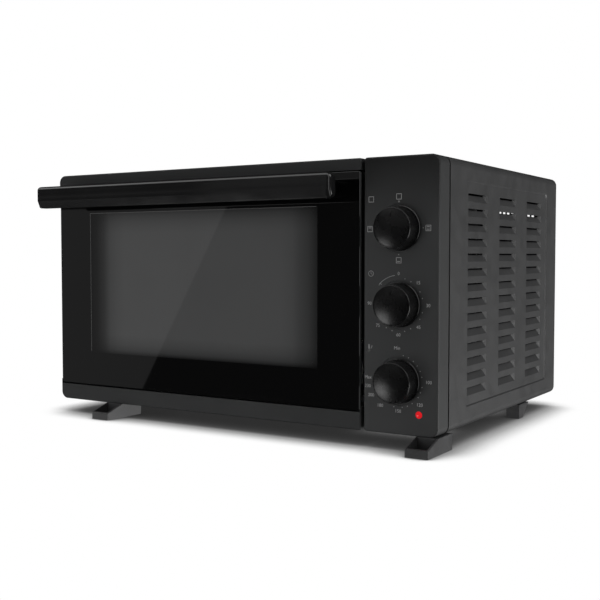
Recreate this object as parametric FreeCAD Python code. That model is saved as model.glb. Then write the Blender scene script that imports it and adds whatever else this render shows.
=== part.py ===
import FreeCAD, Part
import math
import os

# Toaster oven: a bench-top oven with a drop-down glass door on the left and a tall control
# panel with three knobs on the right, wrapped by one sheet-metal shell with louvred sides.
#
# Millimetres. +X is to the right, -Y is the front, +Z is up. The origin is on the surface that
# the oven stands on, under the middle of its whole outline.

V = FreeCAD.Vector

# ---- Driving dimensions -------------------------------------------------------------------

# Body
body_width = 462.0
body_depth = 334.0              # front face of the mouldings to the rear edge of the shell
body_height = 250.0
foot_height = 15.0
corner_radius = 8.0             # the four long edges of the body
handle_reach = 43.0             # front face to the front of the handle bar
gland_reach = 6.0               # rear edge to the back of the cord gland

# Sheet metal
shell_sheet = 0.8
chassis_sheet = 1.0
cavity_sheet = 0.7
plate_sheet = 0.8               # base plate and back panel
fold_clearance = 0.3            # between nested sheets

# Front mouldings
seam_gap = 2.5                  # shadow gap between the mouldings and the shell
front_bevel = 1.5
panel_width = 74.1
panel_gap = 3.0                 # groove between the door unit and the control panel
gap_corner = 2.5                # corner radius at that groove
top_rail = 10.8
bottom_rail = 16.9
ring_sheet = 2.0                # wall of the door frame behind the door
rail_wall = 2.2
rail_lip = 1.5                  # front lip of the bottom rail
swing_clearance = 0.82          # round the glass's lower edge as it swings down behind that lip
rail_edge = 5.0                 # solid rail at each side of a web's middle
web_inset = 20.0                # unit's sides to the first and last web
rail_webs = 4
mouth_inset = 5.0               # the frame's mouth inside the cavity walls
mouth_corner = 6.0

# Door
door_side_gap = 1.5
cheek_gap = 0.4                 # glass to the cheeks at the bottom rail's ends
cheek_rise = 5.0
door_bottom_gap = 1.5
door_top_gap = 1.0
glass_sheet = 4.0
glass_corner = 2.0
glass_edge = 0.5                # rounding of the front edges
pan_depth = 13.0                # sheet-metal pan behind the glass
pan_sheet = 0.8
pan_corner = 4.0
pan_low_corner = 1.5
pan_top_gap = 5.0               # pan's top edge below the glass's top edge
pan_drop = 4.0                  # pan's bottom edge below the hinge axis
window_side = 46.7              # unit's side to the window
window_bottom = 54.3            # body's bottom to the window
window_top = 42.5               # body's top to the window
window_corner = 3.0
hinge_behind_glass = 4.5        # hinge axis behind the back of the glass
hinge_rise = 9.0                # hinge axis above the glass's bottom edge

# Hinges and door arms
running_clearance = 0.05
hinge_pin_radius = 1.5
pin_head = 1.5
pin_head_lip = 0.8              # head's radius over the pin's
pin_end = 0.8                   # pin's outer end beyond the bracket
bracket_sheet = 2.0
bracket_side_gap = 1.2          # unit's side to the bracket's flange
bracket_flange = 3.8
bracket_height = 26.0
bracket_screw_side = 1.2        # screws from the ear
bracket_screw_edge = 4.5        # and below the bracket's top
bracket_screw_pitch = 9.0
eye_wall = 1.45
spring_lip = 1.4                # spring's mean radius over the pin's
spring_gap = 0.25
spring_wire = 0.45
spring_turns = 3.0
spring_pitch = 1.1
spring_leg = 7.0
arm_sheet = 1.5
bracket_arm_gap = 2.0
arm_pan_gap = 1.5
arm_half_width = 6.0
arm_length = 101.0
arm_slot_start = 39.0
arm_slot_end = 97.5
arm_slot_clearance = 0.35
arm_pivot_y = 2.0               # arm pivot from the hinge axis, backwards
arm_pivot_z = 50.0              # and upwards
guide_y = 40.0                  # guide pin from the hinge axis, backwards
guide_z = 30.0                  # and upwards
guide_radius = 2.0
arm_pin_lip = 1.5               # head's radius over the pin's
arm_pin_head = 1.0
arm_pin_gap = 0.4               # head to arm
arm_opening_side = 1.0          # slots in the frame, clear of the arm at each side
arm_opening_ends = 2.5          # and above and below its travel

# Handle
handle_side_inset = 8.7        # unit's sides to the handle's ends
handle_drop = 15.0              # body's top to the handle's top
handle_height = 23.0
handle_thick = 14.0
handle_bevel = 7.3              # height of the curved lower front
handle_sill = 4.0               # depth of that curve
handle_bulge = 1.1              # how far behind the front face its middle is
handle_front_round = 3.0
handle_back_round = 5.0
handle_low_round = 3.0
handle_end_high = 4.5           # corners seen from the front: upper,
handle_end_low = 7.0            # lower,
handle_end_front = 3.5          # and seen from above: front,
handle_end_back = 2.0           # back
post_inset = 26.0
post_width = 16.0
post_height = 14.0
post_corner = 3.0
handle_screw_radius = 2.0
handle_screw_head = 3.0
handle_screw_slot = 1.0
handle_screw_slot_depth = 1.4
handle_screw_bite = 9.0
screw_hole_clearance = 0.4
washer_radius = 6.0
washer_sheet = 1.5
washer_clearance = 1.0          # hole in the pan round the washer

# Cavity
cavity_floor_rise = 36.0        # top face of the floor above the body's bottom
cavity_roof_drop = 22.0         # under the body's top
cavity_rear_space = 20.0
runner_reach = 9.0
runner_sheet = 1.5
runner_gap = 7.0
runner_first = 76.0             # first runner above the body's bottom
runner_last = 48.0              # last runner below the roof
runner_count = 4
runner_end_gap = 6.0
cavity_press = 3.0              # depth of the panel pressed in the rear wall
cavity_press_edge = 30.0        # and its distance from the wall's edges
seal_width = 3.0
seal_depth = 2.2
seal_mouth_gap = 1.0            # overlap of the seal's inner edge past the mouth's edge
seal_gap = 0.3                  # to the closed door
heater_radius = 3.25
heater_margin = 14.0            # upper heaters below the roof, lower heaters above the floor
heater_front = 88.0             # front heater behind the chassis
heater_rear = 82.0              # rear heater before the cavity's back
insulator_wall = 2.75
insulator_lip = 2.0             # collar's radius over the neck's
insulator_flange = 2.0
insulator_in = 2.0              # reach into the cavity
insulator_out = 4.0             # reach outside it
heater_out = 6.0
tray_sheet = 0.7

# Rack and trays
rack_mouth_gap = 1.0            # rack's sides inside the frame's mouth
rack_wire = 2.0
rack_bar = 1.6
rack_cross_wire = 1.25
rack_front_gap = 8.0
rack_rear_gap = 11.3
rack_lift = 0.4                 # above its runner
rack_wires = 17
rack_wire_inset = 4.0           # first and last wire inside the corners
rack_corner = 14.0
baking_depth = 18.0
tray_mouth_gap = 1.0            # rim passes inside the oven's mouth
baking_rib_gap = 2.0            # tray's wall inside the ribs
baking_rear_gap = 12.0
baking_corner = 10.0
baking_lift = 1.0               # rim above its runner
crumb_lift = 0.4
crumb_height = 6.0
crumb_gap = 5.0
crumb_corner = 6.0
crumb_rim = 2.0

# Knobs and what they turn
knob_pitch_bottom = 48.5        # lowest knob above the body's bottom
knob_pitch_top = 64.5           # highest knob below the body's top
knob_offset = -1.35             # knobs from the middle of the panel
knob_reach = 18.6
knob_face_radius = 18.15
knob_base_radius = 20.2
knob_edge = 0.8
knob_wall = 2.0
knob_face_sheet = 4.0
recess_gap = 1.9                # round the knob's base
recess_depth = 1.2
knob_gap = 0.6
pointer_width = 1.4
pointer_length = 4.6
pointer_depth = 0.4
pointer_edge = 1.6              # face's edge to the groove
shaft_radius = 3.0
shaft_hole_clearance = 1.5      # in the panel
shaft_bite = 9.0
shaft_in_unit = 8.0
bush_radius = 5.0
bush_out = 9.0
nut_wall = 2.0
nut_sheet = 2.5
panel_wall = 2.4
panel_boss_edge = 9.0
boss_wall = 2.0
panel_inner_corner = 1.0
lamp_radius = 3.25
lamp_from_knob = 19.8           # to the right of the knobs
lamp_rise = 19.5
lamp_dome = 0.8
lamp_hole_clearance = 1.0       # in the chassis
lens_length = 8.0
lamp_inset = 0.25               # lamp's radius inside the lens's
lamp_length = 20.0
lamp_lead_radius = 0.4
lamp_lead_length = 10.0
lamp_lead_pitch = 2.4

# Units behind the panel
chassis_flange = 16.0
chassis_mouth_corner = 2.0
blade_sheet = 0.8
blade_width = 6.3
blade_reach = 8.0
switch_half = 16.0
switch_depth = 20.0
switch_blade_side = 8.0         # blades from the unit's middle, sideways
switch_blade_rise = 9.0         # and upwards or downwards
timer_half = 21.0
timer_depth = 30.0
timer_blade_side = 15.0
timer_blade_rise = 16.0
thermostat_half_x = 15.0
thermostat_half_z = 18.0
thermostat_depth = 19.0
thermostat_blade_rise = 8.0
bell_radius = 20.0              # outside of the sphere that the dome is cut from
bell_sheet = 1.2
bell_height = 12.0              # dome's rim to its top, with the part that is cut off
bell_sunk = 10.0                # sphere's middle in front of the dome's rim
bell_hub_radius = 3.5
bell_stem_radius = 2.0
bell_stem = 6.0
capillary_radius = 1.0
capillary_bend = 6.0
capillary_stub = 15.7           # its last run, into the thermostat
capillary_back = 11.0           # its run behind the chassis
capillary_lead = 30.0           # from there to the bulb
bulb_radius = 2.5
bulb_length = 70.0
bulb_wall_gap = 3.0
bulb_heater_gap = 8.0

# Back panel and base
back_press = 2.0                # how far the middle of the back panel is pressed in
vent_half_width = 1.5
side_vents = 10
side_vent_height = 20.0
side_vent_top = 32.0            # below the body's top
side_vent_edge = 26.0           # from the body's right side
cavity_vents = 22
cavity_vent_side = 60.0
cavity_vent_height = 26.0
cavity_vent_drop = 24.0         # below the cavity's roof
base_vents = 12
base_vent_length = 60.0
base_vent_front = 40.0
base_vent_rear = 50.0
base_vent_inner = 40.0          # left of the panel's edge
base_vent_edge = 6.0
floor_vents = 26
floor_vent_side = 70.0
floor_vent_length = 40.0
floor_vent_rear = 150.0
base_lap = 3.0                  # overlap of the base plate's middle and its side strips
base_corner_gap = 2.0
gland_rise = 40.0
gland_neck = 9.0
gland_flange = 12.0
gland_flange_sheet = 2.0
gland_nut = 3.0
gland_bore = 4.0
gland_inside = 8.0
terminal_width = 44.0
terminal_depth = 16.0
terminal_height = 15.0
terminal_rear = 38.0
terminal_pitch = 13.0
terminal_way = 2.2              # radius of the holes for the wires
terminal_way_rise = 6.0
terminal_screw = 2.0            # radius of the holes for their screws

# Louvres
field_front = 38.0              # field's front edge behind the shell's front edge
field_rear = 34.0               # field's rear edge before the shell's rear edge
field_margin = 19.5             # field's edges from the body's top and bottom
field_depth = 1.0
field_slope = 1.2
field_corner = 5.0
louvre_columns = 3
louvre_rows = 14
louvre_length = 49.0
louvre_height = 7.6
louvre_reach = 3.0
louvre_slit = 1.4
louvre_end_slope = 4.5          # how far each end leans in over the louvre's depth
louvre_front_margin = 6.0
louvre_rear_margin = 17.4
louvre_top_margin = 11.5
louvre_bottom_margin = 9.9

# Feet
foot_width = 22.0
foot_toe = 21.5
foot_toe_height = 7.8
foot_heel = 31.6
foot_heel_lean = 1.0
foot_shelf = 0.5                # flat top in front of the front face
foot_wall = 1.6                 # round the pocket in the toe
foot_floor = 1.6
foot_edge = 0.8                 # chamfer along the sloping top
left_foot_inset = 68.0
rear_foot_width = 14.4
rear_foot_front = 101.0         # where the rear foot's sole ends, before the body's rear edge
rear_foot_top = 30.0            # rear foot's length at the top
rear_foot_toe = 11.0            # rear foot's length on the floor
rear_foot_lean = 1.0
rear_foot_inset = 2.9
foot_screw_back = 28.0
foot_screw_offset = 3.0
foot_screw_bite = 3.2
foot_web = 6.0                  # foot above the counterbore

# Screws
screw_radius = 2.0
screw_head_radius = 3.6
screw_head_clearance = 0.2
screw_head = 1.8
screw_length = 9.0
screw_slot = 0.8
screw_slot_length = 4.4
screw_slot_depth = 1.0
small_screw_radius = 1.5
small_head_radius = 2.6
small_head = 1.2
small_screw_hole = 7.0          # depth of the holes in the mouldings
small_screw_bite = 6.5
shell_flange = 26.0             # the shell's turned-in bottom edge
rear_flange = 12.0
shell_screw_side = 17.0
shell_screw_front = 40.0
shell_screw_middle = 160.0
shell_screw_rear = 30.0
shell_screw_bite = 5.0
back_screw_side = 7.0
back_screw_end = 22.0

# ---- Places worked out from them ----------------------------------------------------------

overall_depth = handle_reach + body_depth + gland_reach
front_y = handle_reach - overall_depth / 2
rear_y = front_y + body_depth
left_x = -body_width / 2
right_x = body_width / 2
base_z = foot_height
top_z = foot_height + body_height
glass_back = front_y + glass_sheet
pan_back = glass_back + pan_depth
ring_y = pan_back + seal_gap + seal_depth
chassis_y = ring_y + ring_sheet
shell_y = chassis_y + seam_gap
inner_y = chassis_y + chassis_sheet
chassis_inset = shell_sheet + seam_gap + fold_clearance
panel_left = right_x - panel_width
unit_left = left_x
unit_right = panel_left - panel_gap
unit_mid = (unit_left + unit_right) / 2
bracket_x = unit_left + bracket_side_gap + bracket_flange
arm_x = bracket_x + bracket_sheet + bracket_arm_gap
side_space = arm_x + arm_sheet + arm_pan_gap - unit_left

door_left = unit_left + door_side_gap
door_right = unit_right - door_side_gap
door_low = base_z + bottom_rail + door_bottom_gap
door_high = top_z - top_rail - door_top_gap
pan_left = unit_left + side_space
pan_right = unit_right - side_space
hinge_setback = glass_sheet + hinge_behind_glass
hinge_y = front_y + hinge_setback
hinge_z = door_low + hinge_rise
rail_relief = math.hypot(hinge_setback, hinge_rise) - hinge_rise - door_bottom_gap + swing_clearance
eye_radius = hinge_pin_radius + running_clearance + eye_wall
spring_radius = hinge_pin_radius + spring_lip

cavity_left = unit_left + side_space
cavity_right = unit_right - side_space
cavity_in_left = cavity_left + cavity_sheet
cavity_in_right = cavity_right - cavity_sheet
cavity_floor_z = base_z + cavity_floor_rise
cavity_roof_z = top_z - cavity_roof_drop
cavity_back_y = rear_y - cavity_rear_space
mouth_left = cavity_in_left + mouth_inset
mouth_right = cavity_in_right - mouth_inset
baking_rim = cavity_in_left + runner_reach + baking_rib_gap - mouth_left - tray_mouth_gap
mouth_low = cavity_floor_z
mouth_high = cavity_roof_z - mouth_inset

knob_x = (panel_left + right_x) / 2 + knob_offset
recess_radius = knob_base_radius + recess_gap
knob_low_z = base_z + knob_pitch_bottom
knob_step = (body_height - knob_pitch_bottom - knob_pitch_top) / 2
temperature_z = knob_low_z
timer_z = knob_low_z + knob_step
function_z = knob_low_z + 2 * knob_step
knob_heights = (function_z, timer_z, temperature_z)
lamp_x = knob_x + lamp_from_knob
lamp_z = base_z + lamp_rise

handle_left = unit_left + handle_side_inset
handle_right = unit_right - handle_side_inset
handle_top = top_z - handle_drop
handle_low = handle_top - handle_height
handle_front = front_y - handle_reach
handle_back = handle_front + handle_thick
post_places = (handle_left + post_inset, handle_right - post_inset)
post_z = handle_low + handle_height / 2

heater_ys = (inner_y + heater_front, cavity_back_y - heater_rear)
heater_low_z = cavity_floor_z + heater_margin
heater_high_z = cavity_roof_z - heater_margin
insulator_radius = heater_radius + insulator_wall


# ---- Shape helpers ------------------------------------------------------------------------

def box(x0, x1, y0, y1, z0, z1):
    return Part.makeBox(x1 - x0, y1 - y0, z1 - z0, V(x0, y0, z0))


def cylinder_x(radius, x0, x1, y, z):
    return Part.makeCylinder(radius, x1 - x0, V(x0, y, z), V(1, 0, 0))


def cylinder_y(radius, y0, y1, x, z):
    return Part.makeCylinder(radius, y1 - y0, V(x, y0, z), V(0, 1, 0))


def cylinder_z(radius, z0, z1, x, y):
    return Part.makeCylinder(radius, z1 - z0, V(x, y, z0), V(0, 0, 1))


def rounded_wire(u0, u1, v0, v1, radii, place):
    """Closed outline; radii go low-low, high-low, high-high, low-high."""
    if not isinstance(radii, tuple):
        radii = (radii,) * 4
    spots = ((u0, v0, 1, 1), (u1, v0, -1, 1), (u1, v1, -1, -1), (u0, v1, 1, -1))
    rest = 1 - math.sqrt(0.5)
    stops = []
    for index, (u, v, du, dv) in enumerate(spots):
        r = radii[index]
        along_v = place(u, v + dv * r)
        along_u = place(u + du * r, v)
        middle = place(u + du * r * rest, v + dv * r * rest)
        turn = (along_v, middle, along_u) if index % 2 == 0 else (along_u, middle, along_v)
        stops.append((r, turn))
    edges = []
    for index, (r, (start, middle, end)) in enumerate(stops):
        if r > 0:
            edges.append(Part.Arc(start, middle, end).toShape())
        following = stops[(index + 1) % 4][1][0]
        if end.distanceToPoint(following) > 1e-6:
            edges.append(Part.LineSegment(end, following).toShape())
    return Part.Wire(edges)


def slab_xz(x0, x1, z0, z1, radii, y0, y1):
    """Rounded rectangle seen from the front, run from y0 back to y1."""
    wire = rounded_wire(x0, x1, z0, z1, radii, lambda u, v: V(u, y0, v))
    return Part.Face(wire).extrude(V(0, y1 - y0, 0))


def slab_xy(x0, x1, y0, y1, radii, z0, z1):
    wire = rounded_wire(x0, x1, y0, y1, radii, lambda u, v: V(u, v, z0))
    return Part.Face(wire).extrude(V(0, 0, z1 - z0))


def prism_x(points, x0, x1):
    """Closed outline of (y, z) points, run from x0 to x1."""
    corners = [V(x0, y, z) for y, z in points]
    return Part.Face(Part.makePolygon(corners + corners[:1])).extrude(V(x1 - x0, 0, 0))


def prism_y(points, y0, y1):
    corners = [V(x, y0, z) for x, z in points]
    return Part.Face(Part.makePolygon(corners + corners[:1])).extrude(V(0, y1 - y0, 0))


def round_front(shape, y, radius):
    """Rounds every edge that lies in the plane y."""
    edges = []
    for edge in shape.Edges:
        bounds = edge.BoundBox
        if abs(bounds.YMin - y) < 1e-4 and abs(bounds.YMax - y) < 1e-4:
            edges.append(edge)
    return shape.makeFillet(radius, edges)


def join(shapes):
    return shapes[0].multiFuse(shapes[1:]).removeSplitter()


def both_sides(shape):
    """The shape and its mirror image about the middle of the door unit."""
    return shape, shape.mirror(V(unit_mid, 0, 0), V(1, 0, 0))


def body_section(inset, y0, y1):
    """Solid slice of the body's outline, drawn in by inset."""
    radius = corner_radius - inset
    return slab_xz(left_x + inset, right_x - inset, base_z + inset, top_z - inset, radius, y0, y1)


def spread(first, last, count):
    step = (last - first) / (count - 1)
    return [first + step * index for index in range(count)]


def bent_tube(points, bend, radius):
    """Round tube through points, each corner turned with one arc."""
    edges = []
    start = points[0]
    for index in range(1, len(points) - 1):
        corner = points[index]
        into = (corner - points[index - 1]).normalize()
        out = (points[index + 1] - corner).normalize()
        turn = into.getAngle(out)
        cut = bend * math.tan(turn / 2)
        first = corner - into * cut
        last = corner + out * cut
        bisector = (out - into).normalize()
        middle = corner + bisector * (bend / math.cos(turn / 2) - bend)
        edges.append(Part.LineSegment(start, first).toShape())
        edges.append(Part.Arc(first, middle, last).toShape())
        start = last
    edges.append(Part.LineSegment(start, points[-1]).toShape())
    heading = (points[1] - points[0]).normalize()
    ring = Part.Wire(Part.makeCircle(radius, points[0], heading))
    return Part.Wire(edges).makePipeShell([ring], True, False)


# ---- Shell, panels and front mouldings ----------------------------------------------------

def louvre_places():
    y_first = shell_y + field_front + louvre_front_margin
    y_last = rear_y - field_rear - louvre_rear_margin - louvre_length
    z_first = base_z + field_margin + louvre_bottom_margin
    z_last = top_z - field_margin - louvre_top_margin - louvre_height
    for y in spread(y_first, y_last, louvre_columns):
        for z in spread(z_first, z_last, louvre_rows):
            yield y, z


def louvre_scoop():
    """One louvre at the origin of its face: a pressed scoop, slit along its deep upper edge."""
    lip = louvre_height - louvre_slit
    slope = louvre_end_slope
    mouth = rounded_wire(0, louvre_length, 0, louvre_height, 0, lambda u, v: V(0, u, v))
    pit = rounded_wire(slope, louvre_length - slope, lip, louvre_height, 0, lambda u, v: V(-louvre_reach, u, v))
    hollow = Part.makeLoft([mouth, pit], True, True)
    pressed = hollow.copy()
    pressed.translate(V(-shell_sheet, 0, 0))
    sheet = box(-shell_sheet, 0, 0, louvre_length, 0, louvre_height)
    slit = box(-louvre_reach - shell_sheet - 1, -louvre_reach, slope, louvre_length - slope, lip, louvre_height)
    return join([pressed, sheet]).cut(Part.makeCompound([hollow, slit]))


def louvred_side():
    """Right side: sheet round the recessed field, the recess, the louvres' holes and the louvres."""
    face = right_x - field_depth
    inner = face - shell_sheet
    y0 = shell_y + field_front
    y1 = rear_y - field_rear
    z0 = base_z + field_margin
    z1 = top_z - field_margin
    border = field_slope + shell_sheet
    block = box(inner, right_x, y0 - border, y1 + border, z0 - border, z1 + border)

    rim = rounded_wire(y0, y1, z0, z1, field_corner, lambda u, v: V(right_x, u, v))
    foot = rounded_wire(y0 + field_slope, y1 - field_slope, z0 + field_slope, z1 - field_slope,
                        field_corner - field_slope / 2, lambda u, v: V(face, u, v))
    recess = Part.makeLoft([rim, foot], True, True)

    holes = []
    louvres = []
    scoop = louvre_scoop()
    for y, z in louvre_places():
        holes.append(box(inner - 1, right_x, y, y + louvre_length, z, z + louvre_height))
        louvre = scoop.copy()
        louvre.translate(V(face, y, z))
        louvres.append(louvre)
    return block, recess, holes, louvres


def make_outer_shell():
    tube = body_section(0, shell_y, rear_y).cut(body_section(shell_sheet, shell_y - 1, rear_y + 1))
    lip_inset = shell_sheet + seam_gap
    lip = body_section(0, shell_y, shell_y + shell_sheet)
    lip = lip.cut(body_section(lip_inset, shell_y - 1, rear_y))
    flange_y = rear_y - plate_sheet - shell_sheet
    flange = body_section(0, flange_y, flange_y + shell_sheet)
    flange = flange.cut(box(left_x + rear_flange, right_x - rear_flange, flange_y - 1, rear_y,
                            base_z + rear_flange, top_z - rear_flange))
    for x, z in back_screw_places():
        flange = flange.cut(cylinder_y(screw_radius, flange_y - 1, rear_y, x, z))
    shell = join([tube, lip, flange])

    opening = box(left_x + shell_flange, right_x - shell_flange, shell_y + shell_sheet, flange_y,
                  base_z - 1, base_z + shell_sheet)
    shell = shell.cut(opening)
    for x, y in shell_screw_places() + foot_screw_places():
        shell = shell.cut(cylinder_z(screw_radius, base_z - 1, base_z + shell_sheet + 1, x, y))

    block, recess, holes, louvres = louvred_side()
    cutters = Part.makeCompound([recess] + holes)
    for mirrored in (False, True):
        added = block
        removed = cutters
        pressed = louvres
        if mirrored:
            added = block.mirror(V(0, 0, 0), V(1, 0, 0))
            removed = cutters.mirror(V(0, 0, 0), V(1, 0, 0))
            pressed = [louvre.mirror(V(0, 0, 0), V(1, 0, 0)) for louvre in louvres]
        shell = shell.fuse(added).cut(removed)
        shell = shell.multiFuse(pressed)
    return shell


def vent_slots(x0, x1, count, y0, y1, z0, z1, along_z):
    """Cutters for a row of rounded slots, spread along X."""
    half = vent_half_width
    end = half * 0.99
    slots = []
    for x in spread(x0 + half, x1 - half, count):
        if along_z:
            slots.append(slab_xz(x - half, x + half, z0, z1, end, y0, y1))
        else:
            slots.append(slab_xy(x - half, x + half, y0, y1, end, z0, z1))
    return slots


def gland_place():
    return panel_left + panel_width / 2, base_z + gland_rise


def make_back_panel():
    inset = shell_sheet + fold_clearance
    y0 = rear_y - plate_sheet
    panel = body_section(inset, y0, rear_y)
    pressed = slab_xz(cavity_left, cavity_right, cavity_floor_z, cavity_roof_z, pan_corner,
                      y0 - back_press, rear_y)
    hollow = slab_xz(cavity_left + plate_sheet, cavity_right - plate_sheet, cavity_floor_z + plate_sheet,
                     cavity_roof_z - plate_sheet, pan_corner - plate_sheet, rear_y - back_press, rear_y + 1)
    panel = join([panel, pressed]).cut(hollow)
    through = (y0 - back_press - 1, rear_y + 1)
    cuts = []
    z = top_z - side_vent_top - side_vent_height
    cuts += vent_slots(panel_left, right_x - side_vent_edge, side_vents, *through,
                       z, z + side_vent_height, True)
    z = cavity_roof_z - cavity_vent_drop - cavity_vent_height
    cuts += vent_slots(cavity_left + cavity_vent_side, cavity_right - cavity_vent_side, cavity_vents,
                       *through, z, z + cavity_vent_height, True)
    for x, z in back_screw_places():
        cuts.append(cylinder_y(screw_radius, y0 - 1, rear_y + 1, x, z))
    x, z = gland_place()
    cuts.append(cylinder_y(gland_neck, y0 - 1, rear_y + 1, x, z))
    return panel.cut(Part.makeCompound(cuts))


def make_cord_gland():
    """Strain-relief gland in the back panel; its bore takes the mains lead."""
    x, z = gland_place()
    y0 = rear_y - plate_sheet
    neck = cylinder_y(gland_neck, y0 - gland_inside, rear_y + gland_reach, x, z)
    flange = cylinder_y(gland_flange, rear_y, rear_y + gland_flange_sheet, x, z)
    nut = cylinder_y(gland_flange, y0 - gland_nut, y0, x, z)
    gland = join([neck, flange, nut])
    gland = gland.cut(cylinder_y(gland_bore, y0 - gland_inside - 1, rear_y + gland_reach + 1, x, z))
    return gland


def make_base_plate():
    y0 = shell_y + shell_sheet + fold_clearance
    y1 = rear_y - plate_sheet - shell_sheet - fold_clearance
    inner_left = left_x + shell_flange + fold_clearance
    inner_right = right_x - shell_flange - fold_clearance
    centre = box(inner_left, inner_right, y0, y1, base_z, base_z + shell_sheet)
    side = corner_radius + base_corner_gap
    level = base_z + shell_sheet
    top = level + plate_sheet
    left_strip = box(left_x + side, inner_left + base_lap, y0, y1, level, top)
    right_strip = box(inner_right - base_lap, right_x - side, y0, y1, level, top)
    plate = join([centre, left_strip, right_strip])
    cuts = []
    x0 = panel_left - base_vent_inner
    x1 = inner_right - base_vent_edge
    for y in (shell_y + base_vent_front, rear_y - base_vent_rear - base_vent_length):
        cuts += vent_slots(x0, x1, base_vents, y, y + base_vent_length, base_z - 1, top + 1, False)
    y = rear_y - floor_vent_rear - floor_vent_length
    cuts += vent_slots(inner_left + floor_vent_side, panel_left - floor_vent_side, floor_vents,
                       y, y + floor_vent_length, base_z - 1, top + 1, False)
    for x, y in shell_screw_places() + foot_screw_places():
        cuts.append(cylinder_z(screw_radius, base_z - 1, top + 1, x, y))
    return plate.cut(Part.makeCompound(cuts))


def arm_line_height(y, pivot_y, pivot_z, angle):
    return pivot_z + (y - pivot_y) * math.tan(angle)


def arm_angle(pivot_y, pivot_z):
    return math.atan2(hinge_z + guide_z - pivot_z, hinge_y + guide_y - pivot_y)


def arm_openings(y0, y1):
    """Cutters for the two slots that the door arms pass through."""
    closed = (hinge_y + arm_pivot_y, hinge_z + arm_pivot_z)
    opened = (hinge_y - arm_pivot_z, hinge_z + arm_pivot_y)
    closed_angle = arm_angle(*closed)
    opened_angle = arm_angle(*opened)
    high = arm_line_height(ring_y, closed[0], closed[1], closed_angle)
    high += arm_half_width / math.cos(closed_angle) + arm_opening_ends
    low = arm_line_height(ring_y, opened[0], opened[1], opened_angle)
    low -= arm_half_width / math.cos(opened_angle) + arm_opening_ends
    x1 = arm_x + arm_sheet + arm_opening_side
    return both_sides(box(arm_x - arm_opening_side, x1, y0, y1, low, high))


def bracket_screw_places():
    high = hinge_z - eye_radius + bracket_height - bracket_screw_edge
    x = bracket_x - bracket_screw_side
    return [(x, high), (x, high - bracket_screw_pitch)]


def front_screw_places():
    """Screws that hold the door frame and the control panel to the chassis."""
    edge = chassis_inset + chassis_sheet + small_head_radius + fold_clearance
    xs = web_places() + [panel_left + panel_boss_edge, right_x - panel_boss_edge]
    return [(x, z) for x in xs for z in (top_z - edge, base_z + edge)]


def web_places():
    return spread(unit_left + web_inset, unit_right - web_inset, rail_webs)


def make_front_frame():
    radii = (corner_radius, gap_corner, gap_corner, corner_radius)
    frame = slab_xz(unit_left, unit_right, base_z, top_z, radii, front_y, chassis_y)
    frame = round_front(frame, front_y, front_bevel)
    low = base_z + bottom_rail
    high = top_z - top_rail
    relief = low - rail_relief
    x0 = door_left - cheek_gap
    x1 = door_right + cheek_gap
    cuts = [box(x0, x1, front_y - 1, ring_y, low, high)]
    cuts.append(box(unit_left - 1, unit_right + 1, front_y - 1, ring_y, low + cheek_rise, high))
    cuts.append(box(x0, x1, front_y + rail_lip, ring_y, relief, low))
    through = (ring_y - 1, chassis_y + 1)
    cuts.append(slab_xz(mouth_left, mouth_right, mouth_low, mouth_high, mouth_corner, *through))
    cuts += arm_openings(*through)
    for x, z in bracket_screw_places():
        cuts += both_sides(cylinder_y(small_screw_radius, *through, x, z))
    webs = web_places()
    for start, end in zip(webs[:-1], webs[1:]):
        for z0, z1 in ((base_z + rail_wall, relief - rail_wall), (high + rail_wall, top_z - rail_wall)):
            x0 = start + rail_edge
            x1 = end - rail_edge
            cuts.append(box(x0, x1, front_y + 2 * rail_wall, chassis_y + 1, z0, z1))
    for x, z in front_screw_places()[:2 * len(webs)]:
        cuts.append(cylinder_y(small_screw_radius, chassis_y - small_screw_hole, chassis_y + 1, x, z))
    return frame.cut(Part.makeCompound(cuts))


def make_control_panel():
    radii = (gap_corner, corner_radius, corner_radius, gap_corner)
    panel = slab_xz(panel_left, right_x, base_z, top_z, radii, front_y, chassis_y)
    panel = round_front(panel, front_y, front_bevel)
    outer_corner = corner_radius - panel_wall
    hollow = slab_xz(panel_left + panel_wall, right_x - panel_wall, base_z + panel_wall, top_z - panel_wall,
                     (panel_inner_corner, outer_corner, outer_corner, panel_inner_corner),
                     front_y + panel_wall, chassis_y + 1)
    panel = panel.cut(hollow)
    extras = []
    for z in knob_heights:
        boss_depth = front_y + panel_wall + recess_depth
        extras.append(cylinder_y(recess_radius + panel_wall, front_y + panel_wall / 2, boss_depth, knob_x, z))
    panel_screws = front_screw_places()[-4:]
    for x, z in panel_screws:
        boss = small_screw_radius + boss_wall
        extras.append(cylinder_y(boss, front_y + panel_wall / 2, chassis_y, x, z))
    panel = panel.multiFuse(extras).removeSplitter()
    cuts = []
    for z in knob_heights:
        cuts.append(cylinder_y(recess_radius, front_y - 1, front_y + recess_depth, knob_x, z))
        cuts.append(cylinder_y(shaft_radius + shaft_hole_clearance, front_y, chassis_y, knob_x, z))
    cuts.append(cylinder_y(lamp_radius, front_y - 1, front_y + panel_wall + 1, lamp_x, lamp_z))
    for x, z in panel_screws:
        cuts.append(cylinder_y(small_screw_radius, chassis_y - small_screw_hole, chassis_y + 1, x, z))
    return panel.cut(Part.makeCompound(cuts))


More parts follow.
